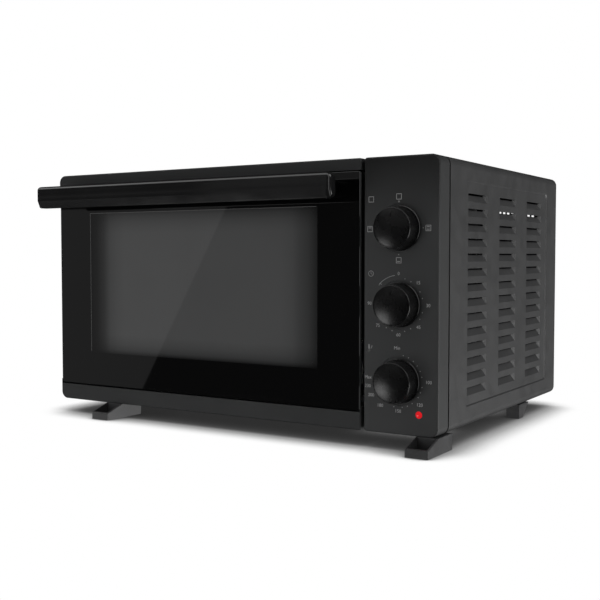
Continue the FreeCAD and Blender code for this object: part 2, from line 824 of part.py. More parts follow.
def make_front_chassis():
    """Steel pan behind both mouldings; the cavity, the switches and the mouldings fix to it."""
    y_back = chassis_y + chassis_flange
    pan = body_section(chassis_inset, chassis_y, y_back)
    pan = pan.cut(body_section(chassis_inset + chassis_sheet, inner_y, y_back + 1))
    through = (chassis_y - 1, inner_y + 1)
    cuts = [slab_xz(cavity_in_left, cavity_in_right, cavity_floor_z, cavity_roof_z,
                    chassis_mouth_corner, *through)]
    cuts += arm_openings(*through)
    for z in knob_heights:
        cuts.append(cylinder_y(bush_radius, *through, knob_x, z))
    cuts.append(cylinder_y(lamp_radius + lamp_hole_clearance, *through, lamp_x, lamp_z))
    for x, z in front_screw_places():
        cuts.append(cylinder_y(small_screw_radius, *through, x, z))
    return pan.cut(Part.makeCompound(cuts))


# ---- Cavity -------------------------------------------------------------------------------

def runner_levels():
    return spread(base_z + runner_first, cavity_roof_z - runner_last, runner_count)


def cavity_side_wall():
    """Left wall: flat sheet with pairs of runner ribs; each pair holds a rack or a tray."""
    z0 = cavity_floor_z - cavity_sheet
    z1 = cavity_roof_z + cavity_sheet
    wall = box(cavity_left, cavity_in_left, inner_y, cavity_back_y, z0, z1)
    ribs = []
    x1 = cavity_in_left + runner_reach
    y0 = inner_y + runner_end_gap
    y1 = cavity_back_y - runner_end_gap
    for level in runner_levels():
        for low in (level - runner_sheet, level + runner_gap):
            ribs.append(box(cavity_in_left, x1, y0, y1, low, low + runner_sheet))
    wall = wall.multiFuse(ribs).removeSplitter()
    cuts = []
    for y in heater_ys:
        for z in (heater_low_z, heater_high_z):
            cuts.append(cylinder_x(insulator_radius, cavity_left - 1, cavity_in_left + 1, y, z))
    y = hinge_y + guide_y
    cuts.append(cylinder_x(guide_radius, cavity_left - 1, cavity_in_left + 1, y, hinge_z + guide_z))
    return wall.cut(Part.makeCompound(cuts))


def make_cavity_right_wall():
    wall = both_sides(cavity_side_wall())[1]
    bend = capillary_points()[1]
    radius = capillary_radius + fold_clearance
    return wall.cut(cylinder_x(radius, cavity_in_right - 1, cavity_right + 1, bend.y, bend.z))


def make_cavity_roof():
    return box(cavity_in_left, cavity_in_right, inner_y, cavity_back_y,
               cavity_roof_z, cavity_roof_z + cavity_sheet)


def make_cavity_floor():
    return box(cavity_in_left, cavity_in_right, inner_y, cavity_back_y,
               cavity_floor_z - cavity_sheet, cavity_floor_z)


def make_cavity_back():
    """Rear wall with one broad pressed panel to stiffen it."""
    y0 = cavity_back_y
    y1 = cavity_back_y + cavity_sheet
    z0 = cavity_floor_z - cavity_sheet
    z1 = cavity_roof_z + cavity_sheet
    plate = box(cavity_left, cavity_right, y0, y1, z0, z1)
    edge = cavity_press_edge
    bend = edge + cavity_sheet
    outer = slab_xz(cavity_left + edge, cavity_right - edge, z0 + edge, z1 - edge, mouth_corner,
                    y0, y1 + cavity_press)
    hollow = slab_xz(cavity_left + bend, cavity_right - bend, z0 + bend, z1 - bend,
                     mouth_corner - cavity_sheet, y0 - 1, y0 + cavity_press)
    return join([plate, outer]).cut(hollow)


def make_door_seal():
    """Rubber band round the mouth; the closed door's pan stands just off it."""
    y0 = pan_back + seal_gap
    near = seal_mouth_gap
    far = near + seal_width
    outer = slab_xz(mouth_left - far, mouth_right + far, mouth_low - far, mouth_high + far,
                    mouth_corner + seal_width, y0, ring_y)
    hollow = slab_xz(mouth_left - near, mouth_right + near, mouth_low - near, mouth_high + near, mouth_corner,
                     y0 - 1, ring_y + 1)
    return outer.cut(hollow)


def make_heaters(z):
    rods = []
    for y in heater_ys:
        rods.append(cylinder_x(heater_radius, cavity_left - heater_out, cavity_right + heater_out, y, z))
    return Part.makeCompound(rods)


def make_heater_insulators():
    """Ceramic bushes where each heater passes a cavity wall."""
    rings = []
    for y in heater_ys:
        for z in (heater_low_z, heater_high_z):
            x0 = cavity_left - insulator_out
            x1 = cavity_in_left + insulator_in
            neck = cylinder_x(insulator_radius, x0, x1, y, z)
            rim = insulator_radius + insulator_lip
            collar = cylinder_x(rim, cavity_left - insulator_flange, cavity_left, y, z)
            bore = cylinder_x(heater_radius, x0 - 1, x1 + 1, y, z)
            rings += both_sides(join([neck, collar]).cut(bore))
    return Part.makeCompound(rings)


def make_wire_rack():
    z = runner_levels()[1] + rack_lift + rack_wire
    x0 = mouth_left + rack_mouth_gap + rack_wire
    x1 = mouth_right - rack_mouth_gap - rack_wire
    y0 = inner_y + rack_front_gap + rack_wire
    y1 = cavity_back_y - rack_rear_gap - rack_wire
    path = rounded_wire(x0, x1, y0, y1, rack_corner, lambda u, v: V(u, v, z))
    start = V(x0, y0 + rack_corner, z)
    ring = Part.Wire(Part.makeCircle(rack_wire, start, V(0, 1, 0)))
    frame = path.makePipeShell([ring], True, False)
    wires = []
    inset = rack_corner + rack_wire_inset
    for x in spread(x0 + inset, x1 - inset, rack_wires):
        wires.append(cylinder_y(rack_cross_wire, y0, y1, x, z))
    for y in spread(y0, y1, 4)[1:3]:
        wires.append(cylinder_x(rack_bar, x0, x1, y, z))
    return frame.multiFuse(wires)


def open_tray(x0, x1, y0, y1, z0, z1, radius, rim):
    outer = slab_xy(x0, x1, y0, y1, radius, z0, z1)
    lip = slab_xy(x0 - rim, x1 + rim, y0 - rim, y1 + rim, radius + rim, z1 - tray_sheet, z1)
    hollow = slab_xy(x0 + tray_sheet, x1 - tray_sheet, y0 + tray_sheet, y1 - tray_sheet,
                     radius - tray_sheet, z0 + tray_sheet, z1 + 1)
    return join([outer, lip]).cut(hollow)


def make_baking_tray():
    """Enamelled tray that hangs by its rim on the lowest runners."""
    rim_z = runner_levels()[0] + baking_lift + tray_sheet
    x0 = cavity_in_left + runner_reach + baking_rib_gap
    x1 = cavity_in_right - runner_reach - baking_rib_gap
    y0 = inner_y + rack_front_gap + baking_rim
    y1 = cavity_back_y - baking_rear_gap - baking_rim
    return open_tray(x0, x1, y0, y1, rim_z - baking_depth, rim_z, baking_corner, baking_rim)


def make_crumb_tray():
    z0 = cavity_floor_z + crumb_lift
    return open_tray(cavity_in_left + crumb_gap, cavity_in_right - crumb_gap, inner_y + crumb_gap,
                     cavity_back_y - crumb_gap, z0, z0 + crumb_height, crumb_corner, crumb_rim)


# ---- Door ---------------------------------------------------------------------------------

def make_door_glass():
    glass = slab_xz(door_left, door_right, door_low, door_high, glass_corner, front_y, glass_back)
    glass = round_front(glass, front_y, glass_edge)
    radius = handle_screw_radius + screw_hole_clearance
    holes = [cylinder_y(radius, front_y - 1, glass_back + 1, x, post_z) for x in post_places]
    return glass.cut(Part.makeCompound(holes))


def window_slab(outset, y0, y1):
    return slab_xz(unit_left + window_side - outset, unit_right - window_side + outset,
                   base_z + window_bottom - outset, top_z - window_top + outset,
                   window_corner + outset, y0, y1)


def make_door_pan():
    """Sheet-metal pan behind the glass, with a collar round the window."""
    low = hinge_z - pan_drop
    high = door_high - pan_top_gap
    outer_radii = (pan_low_corner, pan_low_corner, pan_corner, pan_corner)
    inner_radii = tuple(radius - pan_sheet for radius in outer_radii)
    pan = slab_xz(pan_left, pan_right, low, high, outer_radii, glass_back, pan_back)
    inside = slab_xz(pan_left + pan_sheet, pan_right - pan_sheet, low + pan_sheet, high - pan_sheet,
                     inner_radii, glass_back - 1, pan_back - pan_sheet)
    pan = pan.cut(inside)
    pan = pan.fuse(window_slab(pan_sheet, glass_back, pan_back)).removeSplitter()
    cuts = [window_slab(0, glass_back - 1, pan_back + 1)]
    cuts += both_sides(cylinder_x(hinge_pin_radius, pan_left - 1, pan_left + pan_sheet + 1, hinge_y, hinge_z))
    arm_y = hinge_y + arm_pivot_y
    arm_z = hinge_z + arm_pivot_z
    cuts += both_sides(cylinder_x(guide_radius, pan_left - 1, pan_left + pan_sheet + 1, arm_y, arm_z))
    for x in post_places:
        radius = washer_radius + washer_clearance
        cuts.append(cylinder_y(radius, pan_back - pan_sheet - 1, pan_back + 1, x, post_z))
    return pan.cut(Part.makeCompound(cuts))


def make_hinge_pins():
    inner = pan_left + pan_sheet
    pin = cylinder_x(hinge_pin_radius, bracket_x - pin_end, inner, hinge_y, hinge_z)
    head = cylinder_x(hinge_pin_radius + pin_head_lip, inner, inner + pin_head, hinge_y, hinge_z)
    return Part.makeCompound(list(both_sides(join([pin, head]))))


def make_hinge_bracket():
    """Left bracket: flange on the frame, ear with the eye for the hinge pin."""
    x0 = bracket_x
    x1 = x0 + bracket_sheet
    low = hinge_z - eye_radius
    flange = box(x0 - bracket_flange, x1, ring_y - bracket_sheet, ring_y, low, low + bracket_height)
    ear = box(x0, x1, hinge_y, ring_y, low, hinge_z + eye_radius)
    eye = cylinder_x(eye_radius, x0, x1, hinge_y, hinge_z)
    bracket = join([flange, ear, eye])
    bore = cylinder_x(hinge_pin_radius + running_clearance, x0 - 1, x1 + 1, hinge_y, hinge_z)
    bracket = bracket.cut(bore)
    for x, z in bracket_screw_places():
        bracket = bracket.cut(cylinder_y(small_screw_radius, ring_y - bracket_sheet - 1, ring_y + 1, x, z))
    return bracket


def make_hinge_springs():
    """Torsion springs round the hinge pins; one leg lies along the frame."""
    x0 = bracket_x + bracket_sheet + spring_wire + spring_gap
    helix = Part.makeHelix(spring_pitch, spring_pitch * spring_turns, spring_radius)
    ring = Part.Wire(Part.makeCircle(spring_wire, V(spring_radius, 0, 0), V(0, 1, 0)))
    coil = Part.Wire(helix.Edges).makePipeShell([ring], True, True)
    coil.rotate(V(0, 0, 0), V(0, 1, 0), 90)
    coil.translate(V(x0, hinge_y, hinge_z))
    leg_z = hinge_z - spring_radius
    first = cylinder_y(spring_wire, hinge_y, hinge_y + spring_leg, x0, leg_z)
    last = cylinder_y(spring_wire, hinge_y, hinge_y + spring_leg, x0 + spring_pitch * spring_turns, leg_z)
    spring = coil.multiFuse([first, last])
    return Part.makeCompound(list(both_sides(spring)))


def make_door_arm():
    """Left arm: pivots on the door and slides on the guide pin, which its slot stops."""
    x0 = arm_x
    x1 = x0 + arm_sheet
    y = hinge_y + arm_pivot_y
    z = hinge_z + arm_pivot_z
    end = arm_length - arm_half_width
    strip = box(x0, x1, y, y + end, z - arm_half_width, z + arm_half_width)
    ends = [cylinder_x(arm_half_width, x0, x1, y + along, z) for along in (0, end)]
    arm = join([strip] + ends)
    slot_half = guide_radius + arm_slot_clearance
    slot = box(x0 - 1, x1 + 1, y + arm_slot_start, y + arm_slot_end, z - slot_half, z + slot_half)
    cuts = [slot, cylinder_x(guide_radius + running_clearance, x0 - 1, x1 + 1, y, z)]
    cuts += [cylinder_x(slot_half, x0 - 1, x1 + 1, y + along, z) for along in (arm_slot_start, arm_slot_end)]
    arm = arm.cut(Part.makeCompound(cuts))
    arm.rotate(V(x0, y, z), V(1, 0, 0), math.degrees(arm_angle(y, z)))
    return arm


def headed_pin(y, z, inner_x):
    """Left pin through the arm: fixed in a sheet at inner_x, headed outside the arm."""
    x0 = arm_x - arm_pin_gap
    pin = cylinder_x(guide_radius, x0, inner_x, y, z)
    head = cylinder_x(guide_radius + arm_pin_lip, x0 - arm_pin_head, x0, y, z)
    return join([pin, head])


def make_arm_pivots():
    pin = headed_pin(hinge_y + arm_pivot_y, hinge_z + arm_pivot_z, pan_left + pan_sheet)
    return Part.makeCompound(list(both_sides(pin)))


def make_arm_guides():
    pin = headed_pin(hinge_y + guide_y, hinge_z + guide_z, cavity_in_left)
    return Part.makeCompound(list(both_sides(pin)))


# ---- Handle -------------------------------------------------------------------------------

def corner_arc(corner, into, out, radius):
    """Arc that rounds a corner; into and out are unit vectors away from it along its two sides."""
    start = corner + into * radius
    end = corner + out * radius
    middle = corner + (into + out) * (radius * (1 - math.sqrt(0.5)))
    return start, end, Part.Arc(start, middle, end)


def make_handle_bar():
    """Flat bar: round upper edges, curved lower front, rounded ends."""
    x0 = handle_left
    x1 = handle_right
    back = V(0, 1, 0)
    up = V(0, 0, 1)
    top_front = V(x0, handle_front, handle_top)
    top_back = V(x0, handle_back, handle_top)
    low_back = V(x0, handle_back, handle_low)
    front_start, front_end, front_arc = corner_arc(top_front, -up, back, handle_front_round)
    back_start, back_end, back_arc = corner_arc(top_back, -back, -up, handle_back_round)
    low_start, low_end, low_arc = corner_arc(low_back, up, -back, handle_low_round)
    sill_front = V(x0, handle_front, handle_low + handle_bevel)
    sill_back = V(x0, handle_front + handle_sill, handle_low)
    bulge = V(x0, handle_front + handle_bulge, handle_low + handle_bevel * 0.45)
    curves = [
        Part.Arc(sill_back, bulge, sill_front),
        Part.LineSegment(sill_front, front_start),
        front_arc,
        Part.LineSegment(front_end, back_start),
        back_arc,
        Part.LineSegment(back_end, low_start),
        low_arc,
        Part.LineSegment(low_end, sill_back),
    ]
    section = Part.Face(Part.Wire([curve.toShape() for curve in curves]))
    bar = section.extrude(V(x1 - x0, 0, 0))
    seen_from_front = (handle_end_low, handle_end_low, handle_end_high, handle_end_high)
    bar = bar.common(slab_xz(x0, x1, handle_low, handle_top, seen_from_front,
                             handle_front - 1, handle_back + 1))
    from_above = (handle_end_front, handle_end_front, handle_end_back, handle_end_back)
    bar = bar.common(slab_xy(x0, x1, handle_front, handle_back, from_above, handle_low - 1, handle_top + 1))
    y0 = handle_back - handle_screw_bite
    holes = [cylinder_y(handle_screw_radius, y0, handle_back + 1, x, post_z) for x in post_places]
    return bar.cut(Part.makeCompound(holes))


def make_handle_post(x):
    half = post_width / 2
    rise = post_height / 2
    post = slab_xz(x - half, x + half, post_z - rise, post_z + rise, post_corner, handle_back, front_y)
    return post.cut(cylinder_y(handle_screw_radius, handle_back - 1, front_y + 1, x, post_z))


def make_handle_screws():
    screws = []
    seat = glass_back + washer_sheet
    end = seat + handle_screw_head
    reach = 2 * handle_screw_radius
    half = handle_screw_slot / 2
    for x in post_places:
        shank = cylinder_y(handle_screw_radius, handle_back - handle_screw_bite, seat, x, post_z)
        head = cylinder_y(reach, seat, end, x, post_z)
        deep = end - handle_screw_slot_depth
        slot = box(x - reach, x + reach, deep, end + 1, post_z - half, post_z + half)
        screws.append(join([shank, head]).cut(slot))
    return Part.makeCompound(screws)


def make_handle_washers():
    rings = []
    for x in post_places:
        disc = cylinder_y(washer_radius, glass_back, glass_back + washer_sheet, x, post_z)
        rings.append(disc.cut(cylinder_y(handle_screw_radius, glass_back - 1, pan_back, x, post_z)))
    return Part.makeCompound(rings)


# ---- Knobs and the units they turn --------------------------------------------------------

def make_knob(z):
    """Tapered knob with a bright-edged flat face; the short groove in it is the pointer."""
    back = front_y + recess_depth - knob_gap
    face = front_y - knob_reach
    inside = face + knob_face_sheet
    profile = [
        (0, face), (knob_face_radius - knob_edge, face), (knob_face_radius, face + knob_edge),
        (knob_base_radius, back), (knob_base_radius - knob_wall, back),
        (knob_face_radius - knob_wall, inside), (2 * shaft_radius, inside),
        (2 * shaft_radius, back), (0, back),
    ]
    corners = [V(knob_x + r, y, z) for r, y in profile]
    outline = Part.Face(Part.makePolygon(corners + corners[:1]))
    knob = outline.revolve(V(knob_x, 0, z), V(0, 1, 0), 360)
    bore = cylinder_y(shaft_radius, back - shaft_bite, back + 1, knob_x, z)
    outer = z + knob_face_radius - pointer_edge
    half = pointer_width / 2
    pointer = box(knob_x - half, knob_x + half, face - 1, face + pointer_depth, outer - pointer_length, outer)
    return knob.cut(Part.makeCompound([bore, pointer]))


def make_shaft(z):
    back = front_y + recess_depth - knob_gap
    return cylinder_y(shaft_radius, back - shaft_bite, inner_y + shaft_in_unit, knob_x, z)


def unit_with_bush(z, half_x, half_z, depth):
    body = box(knob_x - half_x, knob_x + half_x, inner_y, inner_y + depth, z - half_z, z + half_z)
    bush = cylinder_y(bush_radius, inner_y - bush_out, inner_y, knob_x, z)
    bore = cylinder_y(shaft_radius + running_clearance, inner_y - bush_out - 1,
                      inner_y + shaft_in_unit + 0.5, knob_x, z)
    return join([body, bush]).cut(bore)


def blades(side, z, y0):
    """Two flat terminals, side by side, that stand out of a unit's back."""
    half = blade_width / 2
    rise = blade_sheet / 2
    pair = []
    for x in (knob_x - side, knob_x + side):
        pair.append(box(x - half, x + half, y0, y0 + blade_reach, z - rise, z + rise))
    return pair


def make_function_switch():
    unit = unit_with_bush(function_z, switch_half, switch_half, switch_depth)
    y0 = inner_y + switch_depth
    upper = blades(switch_blade_side, function_z + switch_blade_rise, y0)
    lower = blades(switch_blade_side, function_z - switch_blade_rise, y0)
    return join([unit] + upper + lower)


def make_timer_unit():
    unit = unit_with_bush(timer_z, timer_half, timer_half, timer_depth)
    y0 = inner_y + timer_depth
    stem = cylinder_y(bell_stem_radius, y0, y0 + bell_stem, knob_x, timer_z)
    return join([unit, stem] + blades(timer_blade_side, timer_z - timer_blade_rise, y0))


def make_timer_bell():
    """Domed bell on the timer's rear stem."""
    y0 = inner_y + timer_depth + bell_stem
    middle_y = y0 - bell_sunk
    centre = V(knob_x, middle_y, timer_z)
    dome = Part.makeSphere(bell_radius, centre).cut(Part.makeSphere(bell_radius - bell_sheet, centre))
    dome = dome.common(cylinder_y(bell_radius + 1, y0 - 1, y0 + bell_height, knob_x, timer_z))
    hub = cylinder_y(bell_hub_radius, y0, middle_y + bell_radius - bell_sheet / 2, knob_x, timer_z)
    return join([dome, hub])


def make_thermostat_unit():
    unit = unit_with_bush(temperature_z, thermostat_half_x, thermostat_half_z, thermostat_depth)
    y0 = inner_y + thermostat_depth
    return join([unit] + blades(switch_blade_side, temperature_z + thermostat_blade_rise, y0))


def capillary_points():
    """Bulb's front end, out through the right cavity wall, down, and into the thermostat."""
    bulb_x = cavity_in_right - bulb_radius - bulb_wall_gap
    bulb_z = heater_high_z - heater_radius - bulb_radius - bulb_heater_gap
    run_y = inner_y + capillary_back
    end_x = knob_x - thermostat_half_x
    drop_x = end_x - capillary_stub
    return [V(bulb_x, run_y + capillary_lead, bulb_z), V(bulb_x, run_y, bulb_z), V(drop_x, run_y, bulb_z),
            V(drop_x, run_y, temperature_z), V(end_x, run_y, temperature_z)]


def make_thermostat_capillary():
    points = capillary_points()
    tube = bent_tube(points, capillary_bend, capillary_radius)
    start = points[0]
    bulb = cylinder_y(bulb_radius, start.y - bulb_radius, start.y + bulb_length, start.x, start.z)
    return tube.fuse(bulb)


def make_switch_nuts():
    nuts = []
    for z in knob_heights:
        ring = []
        for step in range(6):
            turn = math.radians(60 * step + 30)
            reach = (bush_radius + nut_wall) / math.cos(math.radians(30))
            ring.append((knob_x + reach * math.cos(turn), z + reach * math.sin(turn)))
        nut = prism_y(ring, chassis_y - nut_sheet, chassis_y)
        nuts.append(nut.cut(cylinder_y(bush_radius, chassis_y - nut_sheet - 1, chassis_y + 1, knob_x, z)))
    return Part.makeCompound(nuts)


def make_indicator_lens():
    """Plain barrel with a shallow dome on the front."""
    barrel = cylinder_y(lamp_radius, front_y, front_y + lens_length, lamp_x, lamp_z)
    ball = (lamp_radius ** 2 + lamp_dome ** 2) / (2 * lamp_dome)
    dome = Part.makeSphere(ball, V(lamp_x, front_y - lamp_dome + ball, lamp_z))
    keep = cylinder_y(lamp_radius, front_y - lamp_dome - 1, front_y + 0.5, lamp_x, lamp_z)
    return join([barrel, dome.common(keep)])


def make_lamp_body():
    y0 = front_y + lens_length
    y1 = y0 + lamp_length
    glass = cylinder_y(lamp_radius - lamp_inset, y0, y1, lamp_x, lamp_z)
    leads = []
    for x in (lamp_x - lamp_lead_pitch / 2, lamp_x + lamp_lead_pitch / 2):
        leads.append(cylinder_y(lamp_lead_radius, y1, y1 + lamp_lead_length, x, lamp_z))
    return join([glass] + leads)


def make_terminal_block():
    middle = gland_place()[0]
    half = terminal_width / 2
    y1 = rear_y - terminal_rear
    y0 = y1 - terminal_depth
    low = base_z + shell_sheet + plate_sheet
    high = low + terminal_height
    way_z = low + terminal_way_rise
    block = box(middle - half, middle + half, y0, y1, low, high)
    cuts = []
    for x in spread(middle - terminal_pitch, middle + terminal_pitch, 3):
        cuts.append(cylinder_y(terminal_way, y0 - 1, y1 + 1, x, way_z))
        cuts.append(cylinder_z(terminal_screw, way_z, high + 1, x, (y0 + y1) / 2))
    return block.cut(Part.makeCompound(cuts))


# ---- Feet and screws ----------------------------------------------------------------------

def front_foot_places():
    return (left_x + left_foot_inset, right_x - foot_width)


def rear_foot_places():
    lean = (foot_width - rear_foot_width) / 2
    return (left_x + left_foot_inset + lean, right_x - rear_foot_inset - rear_foot_width)


def foot_screw_places():
    y = front_y + foot_screw_back
    front = [(x + foot_width / 2 - foot_screw_offset, y) for x in front_foot_places()]
    y = rear_y - rear_foot_front - rear_foot_toe / 2
    rear = [(x + rear_foot_width / 2, y) for x in rear_foot_places()]
    return front + rear


def foot_with_screw_hole(foot, x, y):
    hole = cylinder_z(screw_radius, -1, foot_height + 1, x, y)
    counterbore = cylinder_z(screw_head_radius, -1, foot_height - foot_web, x, y)
    return foot.cut(Part.makeCompound([hole, counterbore]))


def make_front_foot(index):
    """Long-toed foot with a hollow toe, which reaches in front of the body under the open door."""
    x0 = front_foot_places()[index]
    x1 = x0 + foot_width
    toe = front_y - foot_toe
    heel = front_y + foot_heel
    shelf = front_y + foot_shelf
    outline = [(toe, 0), (heel, 0), (heel + foot_heel_lean, foot_height), (shelf, foot_height),
               (toe, foot_toe_height)]
    foot = prism_x(outline, x0, x1)
    middles = [V(x, (toe + shelf) / 2, (foot_toe_height + foot_height) / 2) for x in (x0, x1)]
    slopes = [edge for edge in foot.Edges if any(edge.CenterOfMass.isEqual(spot, 1e-6) for spot in middles)]
    foot = foot.makeChamfer(foot_edge, slopes)
    pocket = box(x0 + foot_wall, x1 - foot_wall, toe + foot_wall, shelf, foot_floor, foot_height + 1)
    foot = foot.cut(pocket)
    return foot_with_screw_hole(foot, *foot_screw_places()[index])


def make_rear_foot(index):
    x = rear_foot_places()[index]
    sole = rear_y - rear_foot_front
    toe = sole - rear_foot_toe
    heel = toe - rear_foot_lean
    outline = [(toe, 0), (sole, 0), (toe + rear_foot_top, foot_height), (heel, foot_height)]
    foot = prism_x(outline, x, x + rear_foot_width)
    return foot_with_screw_hole(foot, *foot_screw_places()[2 + index])


def screw_up(x, y, seat_z, top):
    """Screw driven upwards, its head below seat_z."""
    shank = cylinder_z(screw_radius, seat_z, top, x, y)
    head = cylinder_z(screw_head_radius - screw_head_clearance, seat_z - screw_head, seat_z, x, y)
    return join([shank, head])


def make_foot_screws():
    seat = foot_height - foot_web
    top = base_z + foot_screw_bite
    return Part.makeCompound([screw_up(x, y, seat, top) for x, y in foot_screw_places()])


def shell_screw_places():
    ys = (shell_y + shell_screw_front, rear_y - shell_screw_middle, rear_y - shell_screw_rear)
    xs = (left_x + shell_screw_side, right_x - shell_screw_side)
    return [(x, y) for x in xs for y in ys]


def make_shell_screws():
    top = base_z + shell_screw_bite
    return Part.makeCompound([screw_up(x, y, base_z, top) for x, y in shell_screw_places()])


def back_screw_places():
    side = back_screw_side
    xs = (left_x + side, right_x - side)
    zs = spread(base_z + back_screw_end, top_z - back_screw_end, 3)
    places = [(x, z) for x in xs for z in zs]
    for x in (left_x + body_width / 3, right_x - body_width / 3):
        places.append((x, top_z - side))
        places.append((x, base_z + side))
    return places


def make_back_screws():
    screws = []
    end = rear_y + screw_head
    reach = screw_slot_length / 2
    half = screw_slot / 2
    for x, z in back_screw_places():
        shank = cylinder_y(screw_radius, rear_y - screw_length, rear_y, x, z)
        head = cylinder_y(screw_head_radius, rear_y, end, x, z)
        level = box(x - reach, x + reach, end - screw_slot_depth, end + 1, z - half, z + half)
        upright = box(x - half, x + half, end - screw_slot_depth, end + 1, z - reach, z + reach)
        screws.append(join([shank, head]).cut(Part.makeCompound([level, upright])))
    return Part.makeCompound(screws)


def make_bracket_screws():
    screws = []
    y0 = ring_y - bracket_sheet
    for x, z in bracket_screw_places():
        shank = cylinder_y(small_screw_radius, y0, chassis_y, x, z)
        head = cylinder_y(small_head_radius, y0 - small_head, y0, x, z)
        screws += both_sides(join([shank, head]))
    return Part.makeCompound(screws)


def make_front_screws():
    screws = []
    for x, z in front_screw_places():
        shank = cylinder_y(small_screw_radius, chassis_y - small_screw_bite, inner_y, x, z)
        head = cylinder_y(small_head_radius, inner_y, inner_y + small_head, x, z)
        screws.append(join([shank, head]))
    return Part.makeCompound(screws)


# ---- The whole oven -----------------------------------------------------------------------

def make_nodes():
    nodes = {
        "outer_shell": make_outer_shell(),
        "back_panel": make_back_panel(),
        "base_plate": make_base_plate(),
        "front_frame": make_front_frame(),
        "control_panel": make_control_panel(),
        "front_chassis": make_front_chassis(),
        "cavity_left_wall": cavity_side_wall(),
        "cavity_right_wall": make_cavity_right_wall(),
        "cavity_roof": make_cavity_roof(),
        "cavity_floor": make_cavity_floor(),
        "cavity_back": make_cavity_back(),
        "door_seal": make_door_seal(),
        "upper_heaters": make_heaters(heater_high_z),
        "lower_heaters": make_heaters(heater_low_z),
        "heater_insulators": make_heater_insulators(),
        "wire_rack": make_wire_rack(),
        "baking_tray": make_baking_tray(),
        "crumb_tray": make_crumb_tray(),
        "door_glass": make_door_glass(),
        "door_pan": make_door_pan(),
        "hinge_pins": make_hinge_pins(),
        "hinge_springs": make_hinge_springs(),
        "arm_pivots": make_arm_pivots(),
        "arm_guides": make_arm_guides(),
        "handle_bar": make_handle_bar(),
        "handle_screws": make_handle_screws(),
        "handle_washers": make_handle_washers(),
        "function_switch": make_function_switch(),
        "timer_unit": make_timer_unit(),
        "timer_bell": make_timer_bell(),
        "thermostat_unit": make_thermostat_unit(),
        "thermostat_capillary": make_thermostat_capillary(),
        "switch_nuts": make_switch_nuts(),
        "indicator_lens": make_indicator_lens(),
        "lamp_body": make_lamp_body(),
        "terminal_block": make_terminal_block(),
        "cord_gland": make_cord_gland(),
        "foot_screws": make_foot_screws(),
        "shell_screws": make_shell_screws(),
        "back_screws": make_back_screws(),
        "bracket_screws": make_bracket_screws(),
        "front_screws": make_front_screws(),
    }
    for name, shape in zip(("hinge_bracket_left", "hinge_bracket_right"), both_sides(make_hinge_bracket())):
        nodes[name] = shape
    for name, shape in zip(("door_arm_left", "door_arm_right"), both_sides(make_door_arm())):
        nodes[name] = shape
    for name, x in zip(("handle_post_left", "handle_post_right"), post_places):
        nodes[name] = make_handle_post(x)
    for name, z in zip(("function", "timer", "temperature"), knob_heights):
        nodes[name + "_knob"] = make_knob(z)
        nodes[name + "_shaft"] = make_shaft(z)
    for index, side in enumerate(("left", "right")):
        nodes["front_" + side + "_foot"] = make_front_foot(index)
        nodes["rear_" + side + "_foot"] = make_rear_foot(index)
    return nodes


def main():
    os.makedirs("parts", exist_ok=True)
    for name, shape in make_nodes().items():
        shape.exportStep("parts/" + name + ".step")
        print(name, len(shape.Solids), shape.isValid())


main()
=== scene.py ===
import bpy
import bmesh
import math
from mathutils import Matrix, Vector


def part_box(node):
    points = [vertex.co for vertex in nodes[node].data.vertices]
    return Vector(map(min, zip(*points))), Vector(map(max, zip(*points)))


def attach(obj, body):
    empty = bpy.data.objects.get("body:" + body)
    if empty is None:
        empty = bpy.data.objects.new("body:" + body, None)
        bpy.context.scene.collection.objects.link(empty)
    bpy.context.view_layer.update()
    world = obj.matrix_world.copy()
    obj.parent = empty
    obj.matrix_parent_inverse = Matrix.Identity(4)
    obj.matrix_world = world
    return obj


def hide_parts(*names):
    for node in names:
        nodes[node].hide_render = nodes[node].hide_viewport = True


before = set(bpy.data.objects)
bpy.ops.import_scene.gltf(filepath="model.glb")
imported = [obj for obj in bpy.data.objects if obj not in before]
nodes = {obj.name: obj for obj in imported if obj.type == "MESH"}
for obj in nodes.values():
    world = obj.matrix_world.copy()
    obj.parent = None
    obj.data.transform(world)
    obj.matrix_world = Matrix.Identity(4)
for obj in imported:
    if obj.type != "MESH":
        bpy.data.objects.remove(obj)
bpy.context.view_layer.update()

mm = 0.001
print("frame loaded:", len(nodes), "nodes")


# ---- finishes: each one has its own settings, and reads Object coordinates

def newFinish(name, sockets):
    finish = bpy.data.materials.new(name)
    finish.use_nodes = True
    tree = finish.node_tree
    shader = tree.nodes["Principled BSDF"]
    for socketName, amount in sockets.items():
        shader.inputs[socketName].default_value = amount
    return finish, tree, shader


def addPattern(tree, kind, scale, stretch=(1, 1, 1), detail=None):
    coords = tree.nodes.new("ShaderNodeTexCoord")
    mapping = tree.nodes.new("ShaderNodeMapping")
    pattern = tree.nodes.new(kind)
    mapping.inputs["Scale"].default_value = stretch
    pattern.inputs["Scale"].default_value = scale
    if detail is not None:
        pattern.inputs["Detail"].default_value = detail
    tree.links.new(coords.outputs["Object"], mapping.inputs["Vector"])
    tree.links.new(mapping.outputs["Vector"], pattern.inputs["Vector"])
    return pattern


def addRange(tree, source, low, high, fromLow=0.3, fromHigh=0.7):
    spread = tree.nodes.new("ShaderNodeMapRange")
    spread.inputs["From Min"].default_value = fromLow
    spread.inputs["From Max"].default_value = fromHigh
    spread.inputs["To Min"].default_value = low
    spread.inputs["To Max"].default_value = high
    tree.links.new(source, spread.inputs["Value"])
    return spread.outputs["Result"]


def addRamp(tree, source, stops):
    ramp = tree.nodes.new("ShaderNodeValToRGB")
    elements = ramp.color_ramp.elements
    while len(elements) < len(stops):
        elements.new(0.5)
    for index, (position, colour) in enumerate(stops):
        elements[index].position = position
        elements[index].color = (*colour, 1)
    tree.links.new(source, ramp.inputs["Fac"])
    return ramp.outputs["Color"]


